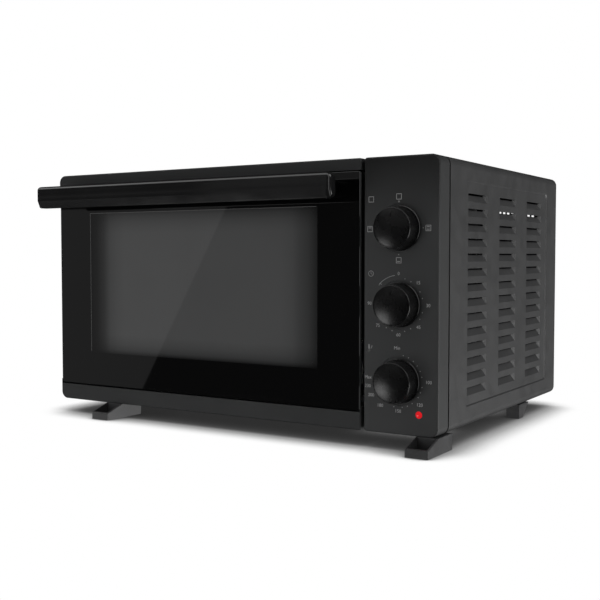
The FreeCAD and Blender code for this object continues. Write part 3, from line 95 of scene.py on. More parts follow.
def addBump(tree, shader, layers):
    normal = None
    for height, strength, distance in layers:
        bump = tree.nodes.new("ShaderNodeBump")
        bump.inputs["Strength"].default_value = strength
        bump.inputs["Distance"].default_value = distance
        tree.links.new(height, bump.inputs["Height"])
        if normal:
            tree.links.new(normal, bump.inputs["Normal"])
        normal = bump.outputs["Normal"]
    tree.links.new(normal, shader.inputs["Normal"])


def addMath(tree, operation, first, second):
    node = tree.nodes.new("ShaderNodeMath")
    node.operation = operation
    for socket, value in zip(node.inputs, (first, second)):
        if isinstance(value, (int, float)):
            socket.default_value = value
        else:
            tree.links.new(value, socket)
    return node.outputs["Value"]


# mixes two colours; each argument is either a plain tuple or another node's output
def addColourMix(tree, factor, first, second):
    mix = tree.nodes.new("ShaderNodeMix")
    mix.data_type = "RGBA"
    sockets = {socket.identifier: socket for socket in mix.inputs}
    for identifier, value in (("Factor_Float", factor), ("A_Color", first), ("B_Color", second)):
        if isinstance(value, tuple):
            sockets[identifier].default_value = (*value, 1)
        else:
            tree.links.new(value, sockets[identifier])
    return {socket.identifier: socket for socket in mix.outputs}["Result_Color"]


toneStops = (0.32, 0.68)        # noise levels at which a finish is fully dark and fully light


# mottled tone, uneven gloss and a fine grain, which nearly every finish here has
def grainedFinish(name, look):
    finish, tree, shader = newFinish(name, look["sockets"])
    stretch = look.get("stretch", (1, 1, 1))
    tone = addPattern(tree, "ShaderNodeTexNoise", look["toneScale"], stretch, detail=5)
    tones = addRamp(tree, tone.outputs["Fac"], list(zip(toneStops, (look["dark"], look["light"]))))
    # painted shade: the front face is darkened towards its top, where the soft light falls off
    if "paintedShadeLoss" in look:         # the front face alone gets darker towards its top
        coords = tree.nodes.new("ShaderNodeTexCoord")
        split = tree.nodes.new("ShaderNodeSeparateXYZ")
        scaled = tree.nodes.new("ShaderNodeVectorMath")
        scaled.operation = "SCALE"
        tree.links.new(coords.outputs["Object"], split.inputs["Vector"])
        upward = addRange(tree, split.outputs["Z"], 0.0, look["paintedShadeLoss"], *look["paintedShadeHeights"])
        forward = addRange(tree, split.outputs["Y"], 1.0, 0.0, *look["paintedShadeDepths"])
        paintedTopShade = addMath(tree, "MULTIPLY", upward, forward)
        tree.links.new(addMath(tree, "SUBTRACT", 1.0, paintedTopShade), scaled.inputs["Scale"])
        tree.links.new(tones, scaled.inputs["Vector"])
        tones = scaled.outputs["Vector"]
    tree.links.new(tones, shader.inputs["Base Color"])
    gloss = addPattern(tree, "ShaderNodeTexNoise", look["glossScale"], stretch, detail=3)
    tree.links.new(addRange(tree, gloss.outputs["Fac"], *look["roughness"]), shader.inputs["Roughness"])
    grain = addPattern(tree, "ShaderNodeTexNoise", look["grainScale"], stretch, detail=2)
    layers = [(grain.outputs["Fac"], look["grainStrength"], look["grainHeight"])]
    if "waveScale" in look:        # slow waviness of rolled or moulded walls
        wave = addPattern(tree, "ShaderNodeTexNoise", look["waveScale"], detail=1)
        layers.append((wave.outputs["Fac"], look["waveStrength"], look["waveHeight"]))
    addBump(tree, shader, layers)
    return finish


# zinc crystals or enamel specks: cells that each take their own tone
def cellFinish(name, look):
    finish, tree, shader = newFinish(name, look["sockets"])
    cells = addPattern(tree, "ShaderNodeTexVoronoi", look["cellScale"])
    tones = addRamp(tree, cells.outputs["Color"], look["tones"])
    tree.links.new(tones, shader.inputs["Base Color"])
    roughness = addRange(tree, cells.outputs["Color"], *look["roughness"], 0, 1)
    tree.links.new(roughness, shader.inputs["Roughness"])
    grain = addPattern(tree, "ShaderNodeTexNoise", look["grainScale"], detail=3)
    addBump(tree, shader, [(grain.outputs["Fac"], look["grainStrength"], look["grainHeight"])])
    return finish


powderPaint = {
    "sockets": {"Specular IOR Level": 0.5},
    "dark": (0.0295, 0.0298, 0.0302), "light": (0.0345, 0.0348, 0.0352),
    "toneScale": 14, "glossScale": 60, "roughness": (0.40, 0.50),
    "grainScale": 1500, "grainStrength": 0.35, "grainHeight": 0.00012,
    "waveScale": 9, "waveStrength": 0.25, "waveHeight": 0.0006,
}
mouldedFront = {
    "sockets": {"Specular IOR Level": 0.20},
    "dark": (0.0235, 0.0241, 0.0244), "light": (0.0275, 0.0282, 0.0284),
    "toneScale": 10, "glossScale": 45, "roughness": (0.46, 0.54),
    "grainScale": 1800, "grainStrength": 0.30, "grainHeight": 0.00010,
}
# the control panel's face, with painted shade darkening it towards its top
shadedPanelFace = dict(mouldedFront, sockets={"Specular IOR Level": 0.30}, dark=(0.0290, 0.0297, 0.0300),
                 light=(0.0338, 0.0346, 0.0349), paintedShadeLoss=0.80,
                 paintedShadeHeights=(0.205, 0.262), paintedShadeDepths=(-0.148, -0.145))
footPlastic = {
    "sockets": {"Specular IOR Level": 0.5},
    "dark": (0.026, 0.026, 0.027), "light": (0.033, 0.033, 0.034),
    "toneScale": 30, "glossScale": 90, "roughness": (0.36, 0.48),
    "grainScale": 1400, "grainStrength": 0.3, "grainHeight": 0.0001,
}
zincSteel = {
    "sockets": {"Metallic": 1.0},
    "cellScale": 150, "tones": [(0.1, (0.42, 0.43, 0.45)), (0.9, (0.60, 0.61, 0.63))],
    "roughness": (0.30, 0.44), "grainScale": 260, "grainStrength": 0.15, "grainHeight": 0.0002,
}
cavitySheet = {
    "sockets": {"Metallic": 0.9},
    "cellScale": 210, "tones": [(0.1, (0.36, 0.36, 0.36)), (0.9, (0.50, 0.50, 0.49))],
    "roughness": (0.34, 0.50), "grainScale": 320, "grainStrength": 0.2, "grainHeight": 0.0002,
}
speckledEnamel = {
    "sockets": {"Coat Weight": 0.6, "Coat Roughness": 0.08},
    "cellScale": 900, "roughness": (0.16, 0.26),
    "tones": [(0.30, (0.010, 0.010, 0.011)), (0.86, (0.014, 0.014, 0.016)), (0.93, (0.30, 0.31, 0.33))],
    "grainScale": 240, "grainStrength": 0.25, "grainHeight": 0.0002,
}
doorEnamel = {
    "sockets": {"Coat Weight": 0.4, "Coat Roughness": 0.12},
    "dark": (0.012, 0.012, 0.013), "light": (0.018, 0.018, 0.019),
    "toneScale": 25, "glossScale": 70, "roughness": (0.22, 0.34),
    "grainScale": 420, "grainStrength": 0.25, "grainHeight": 0.0002,
}
sealRubber = {
    "sockets": {"Specular IOR Level": 0.35, "Sheen Weight": 0.15},
    "dark": (0.018, 0.018, 0.018), "light": (0.030, 0.029, 0.028),
    "toneScale": 40, "glossScale": 120, "roughness": (0.62, 0.78),
    "grainScale": 1100, "grainStrength": 0.5, "grainHeight": 0.0002,
}
heaterSheath = {
    "sockets": {"Metallic": 0.85},
    "dark": (0.085, 0.075, 0.066), "light": (0.19, 0.175, 0.155),
    "toneScale": 55, "glossScale": 150, "roughness": (0.40, 0.62),
    "grainScale": 900, "grainStrength": 0.4, "grainHeight": 0.0001,
}
glazedCeramic = {
    "sockets": {"Coat Weight": 0.25, "Coat Roughness": 0.2},
    "dark": (0.66, 0.63, 0.56), "light": (0.78, 0.76, 0.70),
    "toneScale": 90, "glossScale": 140, "roughness": (0.34, 0.52),
    "grainScale": 1300, "grainStrength": 0.4, "grainHeight": 0.0001,
}
chromeWire = {
    "sockets": {"Metallic": 1.0},
    "dark": (0.60, 0.61, 0.62), "light": (0.74, 0.75, 0.76),
    "toneScale": 60, "glossScale": 200, "roughness": (0.09, 0.19),
    "grainScale": 700, "grainStrength": 0.12, "grainHeight": 0.0001,
}
rolledAluminium = {
    "sockets": {"Metallic": 1.0}, "stretch": (0.06, 1, 1),
    "dark": (0.58, 0.58, 0.58), "light": (0.72, 0.72, 0.71),
    "toneScale": 260, "glossScale": 400, "roughness": (0.26, 0.40),
    "grainScale": 1500, "grainStrength": 0.25, "grainHeight": 0.0001,
}
handleGloss = {
    "sockets": {"Specular IOR Level": 0.5, "Coat Weight": 0.15, "Coat Roughness": 0.05},
    "dark": (0.0066, 0.0066, 0.0068), "light": (0.0080, 0.0080, 0.0082),
    "toneScale": 12, "glossScale": 40, "roughness": (0.12, 0.17),
    "grainScale": 180, "grainStrength": 0.04, "grainHeight": 0.0002,
}
knobGloss = {
    "sockets": {"Specular IOR Level": 0.5},
    "dark": (0.0018, 0.0018, 0.0019), "light": (0.0026, 0.0026, 0.0027),
    "toneScale": 60, "glossScale": 90, "roughness": (0.24, 0.30),
    "grainScale": 1600, "grainStrength": 0.08, "grainHeight": 0.00005,
}
brightSteel = {
    "sockets": {"Metallic": 1.0}, "stretch": (0.1, 1, 1),
    "dark": (0.50, 0.50, 0.51), "light": (0.64, 0.64, 0.65),
    "toneScale": 300, "glossScale": 500, "roughness": (0.22, 0.34),
    "grainScale": 1600, "grainStrength": 0.2, "grainHeight": 0.0001,
}
screwSteel = {
    "sockets": {"Metallic": 1.0},
    "dark": (0.40, 0.40, 0.41), "light": (0.56, 0.56, 0.57),
    "toneScale": 300, "glossScale": 500, "roughness": (0.26, 0.42),
    "grainScale": 1200, "grainStrength": 0.3, "grainHeight": 0.0001,
}
ivoryHousing = {
    "sockets": {"Subsurface Weight": 0.05},
    "dark": (0.60, 0.57, 0.48), "light": (0.70, 0.67, 0.58),
    "toneScale": 40, "glossScale": 90, "roughness": (0.42, 0.56),
    "grainScale": 1300, "grainStrength": 0.3, "grainHeight": 0.0001,
}
# painted shade: the front chassis is made near black so the groove between the front mouldings and the shell
# reads as shadow
chassisGrooveShade = {
    "sockets": {"Specular IOR Level": 0.3},
    "dark": (0.004, 0.004, 0.004), "light": (0.007, 0.007, 0.007),
    "toneScale": 30, "glossScale": 90, "roughness": (0.55, 0.70),
    "grainScale": 1200, "grainStrength": 0.3, "grainHeight": 0.0001,
}
drawnCopper = {
    "sockets": {"Metallic": 1.0},
    "dark": (0.52, 0.25, 0.15), "light": (0.70, 0.36, 0.23),
    "toneScale": 90, "glossScale": 300, "roughness": (0.24, 0.40),
    "grainScale": 1400, "grainStrength": 0.2, "grainHeight": 0.0001,
}
redLens = {
    "sockets": {"Specular IOR Level": 0.6, "Emission Color": (0.9, 0.01, 0.015, 1),
                "Emission Strength": 0.35},
    "dark": (0.52, 0.005, 0.010), "light": (0.66, 0.012, 0.018),
    "toneScale": 300, "glossScale": 400, "roughness": (0.10, 0.18),
    "grainScale": 900, "grainStrength": 0.15, "grainHeight": 0.0001,
}
lampGlass = {
    "sockets": {"Specular IOR Level": 0.5, "Transmission Weight": 0.3},
    "dark": (0.55, 0.50, 0.46), "light": (0.68, 0.63, 0.58),
    "toneScale": 120, "glossScale": 160, "roughness": (0.08, 0.16),
    "grainScale": 500, "grainStrength": 0.1, "grainHeight": 0.0001,
}
greyPrint = {
    "sockets": {"Specular IOR Level": 0.3},
    "dark": (0.30, 0.30, 0.30), "light": (0.36, 0.36, 0.36),
    "toneScale": 200, "glossScale": 300, "roughness": (0.55, 0.70),
    "grainScale": 2500, "grainStrength": 0.3, "grainHeight": 0.00003,
}

finishes = {
    "painted_sheet": grainedFinish("satin_powder_paint", powderPaint),
    "front_moulding": grainedFinish("moulded_front_plastic", mouldedFront),
    "foot_plastic": grainedFinish("foot_plastic_satin", footPlastic),
    "chassis_steel": cellFinish("zinc_coated_steel", zincSteel),
    "cavity_steel": cellFinish("spangled_cavity_sheet", cavitySheet),
    "tray_enamel": cellFinish("speckled_tray_enamel", speckledEnamel),
    "door_enamel": grainedFinish("door_frame_enamel", doorEnamel),
    "seal_rubber": grainedFinish("door_seal_rubber", sealRubber),
    "heater_sheath": grainedFinish("oxidised_heater_sheath", heaterSheath),
    "ceramic": grainedFinish("glazed_ceramic", glazedCeramic),
    "rack_chrome": grainedFinish("chromed_rack_wire", chromeWire),
    "tray_aluminium": grainedFinish("rolled_aluminium", rolledAluminium),
    "handle_gloss": grainedFinish("glossy_handle_plastic", handleGloss),
    "knob_gloss": grainedFinish("glossy_knob_plastic", knobGloss),
    "bright_steel": grainedFinish("brushed_bright_steel", brightSteel),
    "screw_steel": grainedFinish("plated_screw_steel", screwSteel),
    "unit_housing": grainedFinish("ivory_unit_housing", ivoryHousing),
    "black_chassis": grainedFinish("chassis_painted_groove_shade", chassisGrooveShade),
    "panel_face_painted_shade": grainedFinish("moulded_panel_plastic_painted_shade", shadedPanelFace),
    "copper": grainedFinish("drawn_copper", drawnCopper),
    "red_lens": grainedFinish("red_lamp_lens", redLens),
    "lamp_glass": grainedFinish("lamp_body_glass", lampGlass),
}
printFinish = grainedFinish("pale_dial_print", greyPrint)
print("finishes made:", len(finishes) + 1)


# ---- the door's pane: gloss black print round a smoked window; its grey is a painted view of the lit cavity, with painted shade fading it at its edges

glassLook = {
    "border": (0.0016, 0.0016, 0.0017), "paintedInterior": (0.0820, 0.0828, 0.0830),
    "windowLeft": -184.3, "windowRight": 107.2, "windowLow": 69.3, "windowTop": 222.5,    # mm
    "paintedShadeReach": 50.0, "paintedEdgeShadeReach": 28.0,                                                       # mm
    # painted shade of the cavity's walls: how much of the painted interior tone shows, from the window's very
    # edge at 0 to the end of the painted shade at 1
    "leftPaintedShade": [(0.0, 0.0), (0.2, 0.08), (0.4, 0.31), (0.58, 0.74), (0.78, 0.90), (1.0, 1.0)],
    "rightPaintedShade": [(0.0, 0.20), (0.2, 0.50), (0.4, 0.68), (0.56, 0.88), (0.8, 0.98), (1.0, 1.0)],
    "topPaintedShade": [(0.0, 0.30), (0.16, 0.55), (0.38, 0.78), (0.60, 0.91), (0.82, 1.0)],
    "lowPaintedShade": [(0.0, 0.10), (0.17, 0.55), (0.39, 0.79), (0.75, 1.0)],
    # the collar line's tone is a painted highlight of the frame's lit collar edge
    "collar": 0.7, "collarEnd": 1.2, "collarHighlightTone": (0.080, 0.080, 0.080),                 # mm
    "sockets": {"Specular IOR Level": 0.62}, "roughness": (0.018, 0.030),
    "cloudScale": 16, "cloudRange": (0.97, 1.03), "smearScale": 24,
    "waveScale": 6, "waveStrength": 0.02, "waveHeight": 0.0003,
    "edge": 0.5, "edgeCurve": (0.5, 0.13), "corner": 2.0, "sharpAngle": 30,               # mm
    "edgeFacing": 0.3,        # how far a side may face front or back and still be ground edge
}


def windowFinish(look):
    finish, tree, shader = newFinish("smoked_door_glass_painted_interior", look["sockets"])
    coords = tree.nodes.new("ShaderNodeTexCoord")
    split = tree.nodes.new("ShaderNodeSeparateXYZ")
    tree.links.new(coords.outputs["Object"], split.inputs["Vector"])
    sides = [
        ("X", look["windowLeft"], 1, look["paintedShadeReach"], look["leftPaintedShade"]),
        ("X", look["windowRight"], -1, look["paintedShadeReach"], look["rightPaintedShade"]),
        ("Z", look["windowTop"], -1, look["paintedEdgeShadeReach"], look["topPaintedShade"]),
        ("Z", look["windowLow"], 1, look["paintedEdgeShadeReach"], look["lowPaintedShade"]),
    ]
    shade = None
    inside = None
    core = None
    for axis, limit, way, reach, stops in sides:
        depth = addMath(tree, "SUBTRACT", split.outputs[axis], limit * mm)
        depth = addMath(tree, "MULTIPLY", depth, way / mm)
        share = addMath(tree, "DIVIDE", depth, reach)
        ramp = addRamp(tree, share, [(place, (level, level, level)) for place, level in stops])
        within = addMath(tree, "GREATER_THAN", depth, 0.0)
        deeper = addMath(tree, "GREATER_THAN", depth, look["collar"])
        shade = addMath(tree, "MULTIPLY", shade, ramp) if shade else ramp
        inside = addMath(tree, "MULTIPLY", inside, within) if inside else within
        core = addMath(tree, "MULTIPLY", core, deeper) if core else deeper
    cloud = addPattern(tree, "ShaderNodeTexNoise", look["cloudScale"], detail=3)
    shade = addMath(tree, "MULTIPLY", shade, addRange(tree, cloud.outputs["Fac"], *look["cloudRange"]))
    # the window's grey is a painted view of the lit cavity behind it, darkened by painted shade towards its
    # edges
    paintedInterior = addColourMix(tree, addMath(tree, "MULTIPLY", shade, inside), look["border"], look["paintedInterior"])
    # painted highlight: the lit edge of the frame's collar, seen through the glass, as a thin pale line at
    # the window's left and top
    rim = addMath(tree, "SUBTRACT", inside, core)
    rightLimit = (look["windowRight"] - look["collarEnd"]) * mm
    lowLimit = (look["windowLow"] + look["collarEnd"]) * mm
    fromRight = addMath(tree, "LESS_THAN", split.outputs["X"], rightLimit)
    fromLow = addMath(tree, "GREATER_THAN", split.outputs["Z"], lowLimit)
    rim = addMath(tree, "MULTIPLY", addMath(tree, "MULTIPLY", rim, fromRight), fromLow)
    tree.links.new(addColourMix(tree, rim, paintedInterior, look["collarHighlightTone"]), shader.inputs["Base Color"])
    smear = addPattern(tree, "ShaderNodeTexNoise", look["smearScale"], detail=4)
    tree.links.new(addRange(tree, smear.outputs["Fac"], *look["roughness"]), shader.inputs["Roughness"])
    wave = addPattern(tree, "ShaderNodeTexNoise", look["waveScale"], detail=1)
    addBump(tree, shader, [(wave.outputs["Fac"], look["waveStrength"], look["waveHeight"])])
    return finish


groundEdge = {
    "sockets": {"Specular IOR Level": 0.5},
    "dark": (0.088, 0.094, 0.094), "light": (0.112, 0.118, 0.118),
    "toneScale": 60, "glossScale": 200, "roughness": (0.34, 0.50),
    "grainScale": 1800, "grainStrength": 0.3, "grainHeight": 0.0001,
}
finishes["dark_glass"] = windowFinish(glassLook)


weldReach = 1e-7        # points closer than this, in metres, are one point


# a smooth-shaded piece whose flat caps keep their own normals, so they mirror straight lines
def objectFromMesh(name, bm, finish, sharpAngle):
    bmesh.ops.remove_doubles(bm, verts=bm.verts, dist=weldReach)
    bmesh.ops.recalc_face_normals(bm, faces=bm.faces)
    mesh = bpy.data.meshes.new(name)
    bm.to_mesh(mesh)
    bm.free()
    mesh.shade_smooth()
    mesh.set_sharp_from_angle(angle=math.radians(sharpAngle))
    mesh.materials.append(finish)
    for side in mesh.polygons:
        if side.loop_total > 4:
            side.use_smooth = False
    piece = bpy.data.objects.new(name, mesh)
    bpy.context.scene.collection.objects.link(piece)
    return piece


def roundedOutline(left, right, low, top, radius, steps=6):
    points = []
    corners = [(right - radius, top - radius, 0), (left + radius, top - radius, 90),
               (left + radius, low + radius, 180), (right - radius, low + radius, 270)]
    for middleX, middleZ, start in corners:
        for step in range(steps + 1):
            turn = math.radians(start + 90 * step / steps)
            points.append((middleX + radius * math.cos(turn), middleZ + radius * math.sin(turn)))
    return points


# closed solid through rings of points, with both ends capped
def skinRings(bm, rings):
    rows = [[bm.verts.new(point) for point in ring] for ring in rings]
    for first, second in zip(rows, rows[1:]):
        count = len(first)
        for index in range(count):
            after = (index + 1) % count
            bm.faces.new((first[index], first[after], second[after], second[index]))
    bm.faces.new(rows[0])
    bm.faces.new(rows[-1])


def makeDoorGlass(look):
    low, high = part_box("door_glass")
    edge = look["edge"] * mm
    bm = bmesh.new()
    rings = []
    far, near = look["edgeCurve"]
    profile = [(edge, 0), (edge * far, edge * near), (edge * near, edge * far), (0, edge)]
    profile += [(inset, (high.y - low.y) - depth) for inset, depth in reversed(profile)]
    for inset, depth in profile:
        outline = roundedOutline(low.x + inset, high.x - inset, low.z + inset, high.z - inset,
                                 look["corner"] * mm - inset)
        rings.append([(x, low.y + depth, z) for x, z in outline])
    skinRings(bm, rings)
    pane = objectFromMesh("door_pane", bm, finishes["dark_glass"], look["sharpAngle"])
    pane.data.materials.append(grainedFinish("ground_glass_edge", groundEdge))
    for side in pane.data.polygons:
        if abs(side.normal.y) < look["edgeFacing"]:
            side.material_index = 1
    return pane


doorPane = makeDoorGlass(glassLook)
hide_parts("door_glass")
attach(doorPane, "door")
print("door pane made")


# ---- handle: a lofted bar with a flat front, a slanted lower facet and ends rounded all round

handleLook = {
    "facetHigh": 7.6, "facetDeep": 3.3, "lowEdge": 0.7, "lowEdgeCurve": 0.3,        # mm
    "topRound": 3.6, "backRound": 5.0, "backLowRound": 3.0, "roundSteps": 10, "lowSteps": 6,
    "bulge": 0.12, "bulgeSteps": 6, "endRound": 4.6, "endSteps": 9, "sharpAngle": 18,
}


def quarterTurn(middle, radius, first, last, steps):
    return [(middle[0] + radius * math.cos(math.radians(first + (last - first) * step / steps)),
             middle[1] + radius * math.sin(math.radians(first + (last - first) * step / steps)))
            for step in range(steps + 1)]


def handleSection(look, depth, height):
    # points of the bar's section: distance behind its front, and height above its underside
    top, back, backLow, edge = (look[key] for key in ("topRound", "backRound", "backLowRound", "lowEdge"))
    facetHigh, facetDeep = look["facetHigh"], look["facetDeep"]
    bulge, steps = look["bulge"], look["bulgeSteps"]
    points = [(facetDeep, edge), (0.0, facetHigh)]
    points += [(-bulge * math.sin(math.pi * step / steps) + bulge,
                facetHigh + (height - top - facetHigh) * step / steps) for step in range(1, steps)]
    points += quarterTurn((top, height - top), top, 180, 90, look["roundSteps"])
    points += quarterTurn((depth - back, height - back), back, 90, 0, look["roundSteps"])
    points += quarterTurn((depth - backLow, backLow), backLow, 0, -90, look["lowSteps"])
    curve = edge * look["lowEdgeCurve"]
    points += [(facetDeep + edge, 0.0), (facetDeep + curve, curve)]
    return points


def makeHandle(look):
    low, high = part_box("handle_bar")
    depth = (high.y - low.y) / mm
    height = (high.z - low.z) / mm
    section = handleSection(look, depth, height)
    radius = look["endRound"]
    stations = []
    for step in range(look["endSteps"] + 1):
        turn = math.radians(90 * step / look["endSteps"])
        stations.append((radius * (1 - math.cos(turn)), radius * (1 - math.sin(turn))))
    length = (high.x - low.x) / mm
    stations += [(length - along, inset) for along, inset in reversed(stations)]
    rings = []
    for along, inset in stations:
        shrinkY = 1 - inset / (depth / 2)
        shrinkZ = 1 - inset / (height / 2)
        rings.append([(low.x + along * mm, low.y + (depth / 2 + (y - depth / 2) * shrinkY) * mm,
                       low.z + (height / 2 + (z - height / 2) * shrinkZ) * mm) for y, z in section])
    bm = bmesh.new()
    skinRings(bm, rings)
    return objectFromMesh("handle_grip", bm, finishes["handle_gloss"], look["sharpAngle"])


handleGrip = makeHandle(handleLook)
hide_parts("handle_bar")
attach(handleGrip, "door")
print("handle made")


# ---- knobs: spun caps with a rolled rim, a seat lip and a cut pointer groove

knobLook = {
    "dome": 2.0, "domeSteps": 12, "faceRadius": 18.15, "round": 0.7, "roundSteps": 8,              # mm
    "rimWidth": 0.7, "rimGroove": 0.30, "rimGrooveFrom": 0.15, "rimGrooveTo": 0.40,
    "rimFrom": 0.55, "rimRise": 0.05,
    "baseRadius": 20.2, "lip": 1.0, "lipInset": 0.55, "lipSlope": 0.5, "lipRound": 0.2,
    "wall": 2.0, "faceThick": 4.5, "hubRadius": 5.6, "hubInset": 1.0, "segments": 96, "sharpAngle": 32,
    "grooveWidth": 1.3, "grooveFrom": 9.0, "grooveTo": 16.2, "grooveEnd": 0.98, "grooveSteps": 5,
    "toolDepths": (-1, 1.25),        # the groove's cutter, from ahead of the face's middle to behind it
}


def knobProfile(look, depth):
    # radius and distance behind the face's middle, from the pole outwards and round to the back
    dome, face, base, curl = (look[key] for key in ("dome", "faceRadius", "baseRadius", "round"))
    flat = face - curl - look["rimWidth"]
    shares = [step / look["domeSteps"] for step in range(look["domeSteps"] + 1)]
    points = [(flat * share, dome * share * share) for share in shares]
    points += [(flat + look["rimGrooveFrom"], dome + look["rimGroove"]),
               (flat + look["rimGrooveTo"], dome + look["rimGroove"]),
               (flat + look["rimFrom"], dome - look["rimRise"])]
    for step in range(look["roundSteps"] + 1):
        turn = math.radians(90 * step / look["roundSteps"])
        points.append((face - curl * (1 - math.sin(turn)), dome + curl * (1 - math.cos(turn))))
    points += [(base - look["lipInset"], depth - look["lip"] - look["lipSlope"]), (base, depth - look["lip"]),
               (base, depth - look["lipRound"]), (base - look["lipRound"], depth),
               (base - look["wall"], depth), (face - look["wall"], look["faceThick"]),
               (look["hubRadius"], look["faceThick"]),
               (look["hubRadius"], depth - look["hubInset"]), (0.0, depth - look["hubInset"])]
    return points


def makeKnob(node, look):
    low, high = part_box(node)
    middle = (low + high) / 2
    depth = (high.y - low.y) / mm
    bm = bmesh.new()
    profile = knobProfile(look, depth)
    verts = [bm.verts.new((middle.x + radius * mm, low.y + back * mm, middle.z)) for radius, back in profile]
    edges = [bm.edges.new(pair) for pair in zip(verts, verts[1:])]
    bmesh.ops.spin(bm, geom=verts + edges, cent=(middle.x, 0, middle.z), axis=(0, 1, 0),
                   angle=math.tau, steps=look["segments"], use_duplicate=False)
    knob = objectFromMesh(node + "_cap", bm, finishes["knob_gloss"], look["sharpAngle"])
    cutter = bmesh.new()
    half = look["grooveWidth"] / 2 * mm
    outline = roundedOutline(middle.x - half, middle.x + half, middle.z + look["grooveFrom"] * mm,
                             middle.z + look["grooveTo"] * mm, half * look["grooveEnd"], look["grooveSteps"])
    skinRings(cutter, [[(x, low.y + back * mm, z) for x, z in outline] for back in look["toolDepths"]])
    tool = objectFromMesh("groove_tool", cutter, finishes["knob_gloss"], look["sharpAngle"])
    cut = knob.modifiers.new("pointer", "BOOLEAN")
    cut.operation = "DIFFERENCE"
    cut.solver = "EXACT"
    cut.object = tool
    graph = bpy.context.evaluated_depsgraph_get()
    mesh = bpy.data.meshes.new_from_object(knob.evaluated_get(graph))
    knob.modifiers.remove(cut)
    knob.data = mesh
    mesh.shade_smooth()
    mesh.set_sharp_from_angle(angle=math.radians(look["sharpAngle"]))
    bpy.data.objects.remove(tool)
    return knob


for dial in ("function", "timer", "temperature"):
    knob = makeKnob(dial + "_knob", knobLook)
    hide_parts(dial + "_knob")
    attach(knob, dial + "_dial")
print("knobs made")


# ---- dial print: dots by Geometry Nodes, numbers from text, small outlined icons

printLook = {
    "height": 0.06, "sunk": 0.02, "textSize": 4.2, "textSteps": 3, "shift": -0.7,    # mm
    "dotRadius": 0.40, "dotSides": 14,
    "iconSize": 4.8, "iconLine": 0.45, "strokeReach": 0.5, "strokeLine": 0.54, "strokeHeight": 0.45,
}

# marks round each knob: across and up are mm from the knob's centre, angles are clockwise from the top
dialMarks = {
    "function": {
        # across, up, and which heaters the icon shows: 1 above, -1 below
        "icons": [(0.0, 28.2, ()), (28.6, -0.2, (1, -1)), (0.0, -28.6, (-1,)), (-29.0, -0.4, (1,)),
                  (-27.8, 26.4, ())],
        "words": [],
        "dots": [(23.6, 90, 90, 1), (23.6, 180, 180, 1)],        # radius, first angle, last angle, count
        "lines": [(0.7, False, [(0.0, 23.4), (0.0, 24.2)])],      # width, closed or not, points
        "arcs": [],        # width, closed or not, settings of arcPoints
    },
    "timer": {
        "icons": [],
        "words": [("0", 0.0, 28.0), ("15", 19.2, 20.0), ("30", 29.0, 0.0), ("45", 19.8, -19.4),
                  ("60", 0.0, -27.0), ("75", -20.6, -19.2), ("90", -29.2, 0.6)],
        "dots": [(24.2, start + 15, start + 30, 2) for start in range(0, 226, 45)],
        "lines": [(0.4, False, [(-19.6, 17.4), (-18.6, 19.2), (-16.9, 18.0)]),
                  (0.42, False, [(-27.8, 29.5), (-27.8, 27.8), (-26.6, 27.1)])],
        "arcs": [(0.45, False, (26.6, -44, -9, 12, 0.0, 0.0)), (0.45, True, (2.5, 0, 336, 15, -27.8, 27.8))],
    },
    "temperature": {
        "icons": [],
        "words": [("Min", -1.2, 29.6), ("Max", -30.4, 1.6), ("100", 29.8, 0.6), ("120", 21.2, -20.0),
                  ("150", 0.0, -27.2), ("180", -18.0, -23.4), ("200", -27.2, -14.6), ("230", -30.6, -6.4)],
        "dots": [(23.8, 12, 78, 6), (23.8, 100, 124, 3), (23.8, 144, 170, 3), (23.8, 190, 222, 2),
                 (23.8, 236, 266, 3)],
        "lines": [(0.9, False, [(-29.6, 26.6), (-29.6, 31.2)]), (0.4, False, [(-27.6, 28.0), (-26.4, 30.6)])],
        "arcs": [(0.8, True, (0.9, 0, 300, 6, -29.6, 26.2))],
    },
}


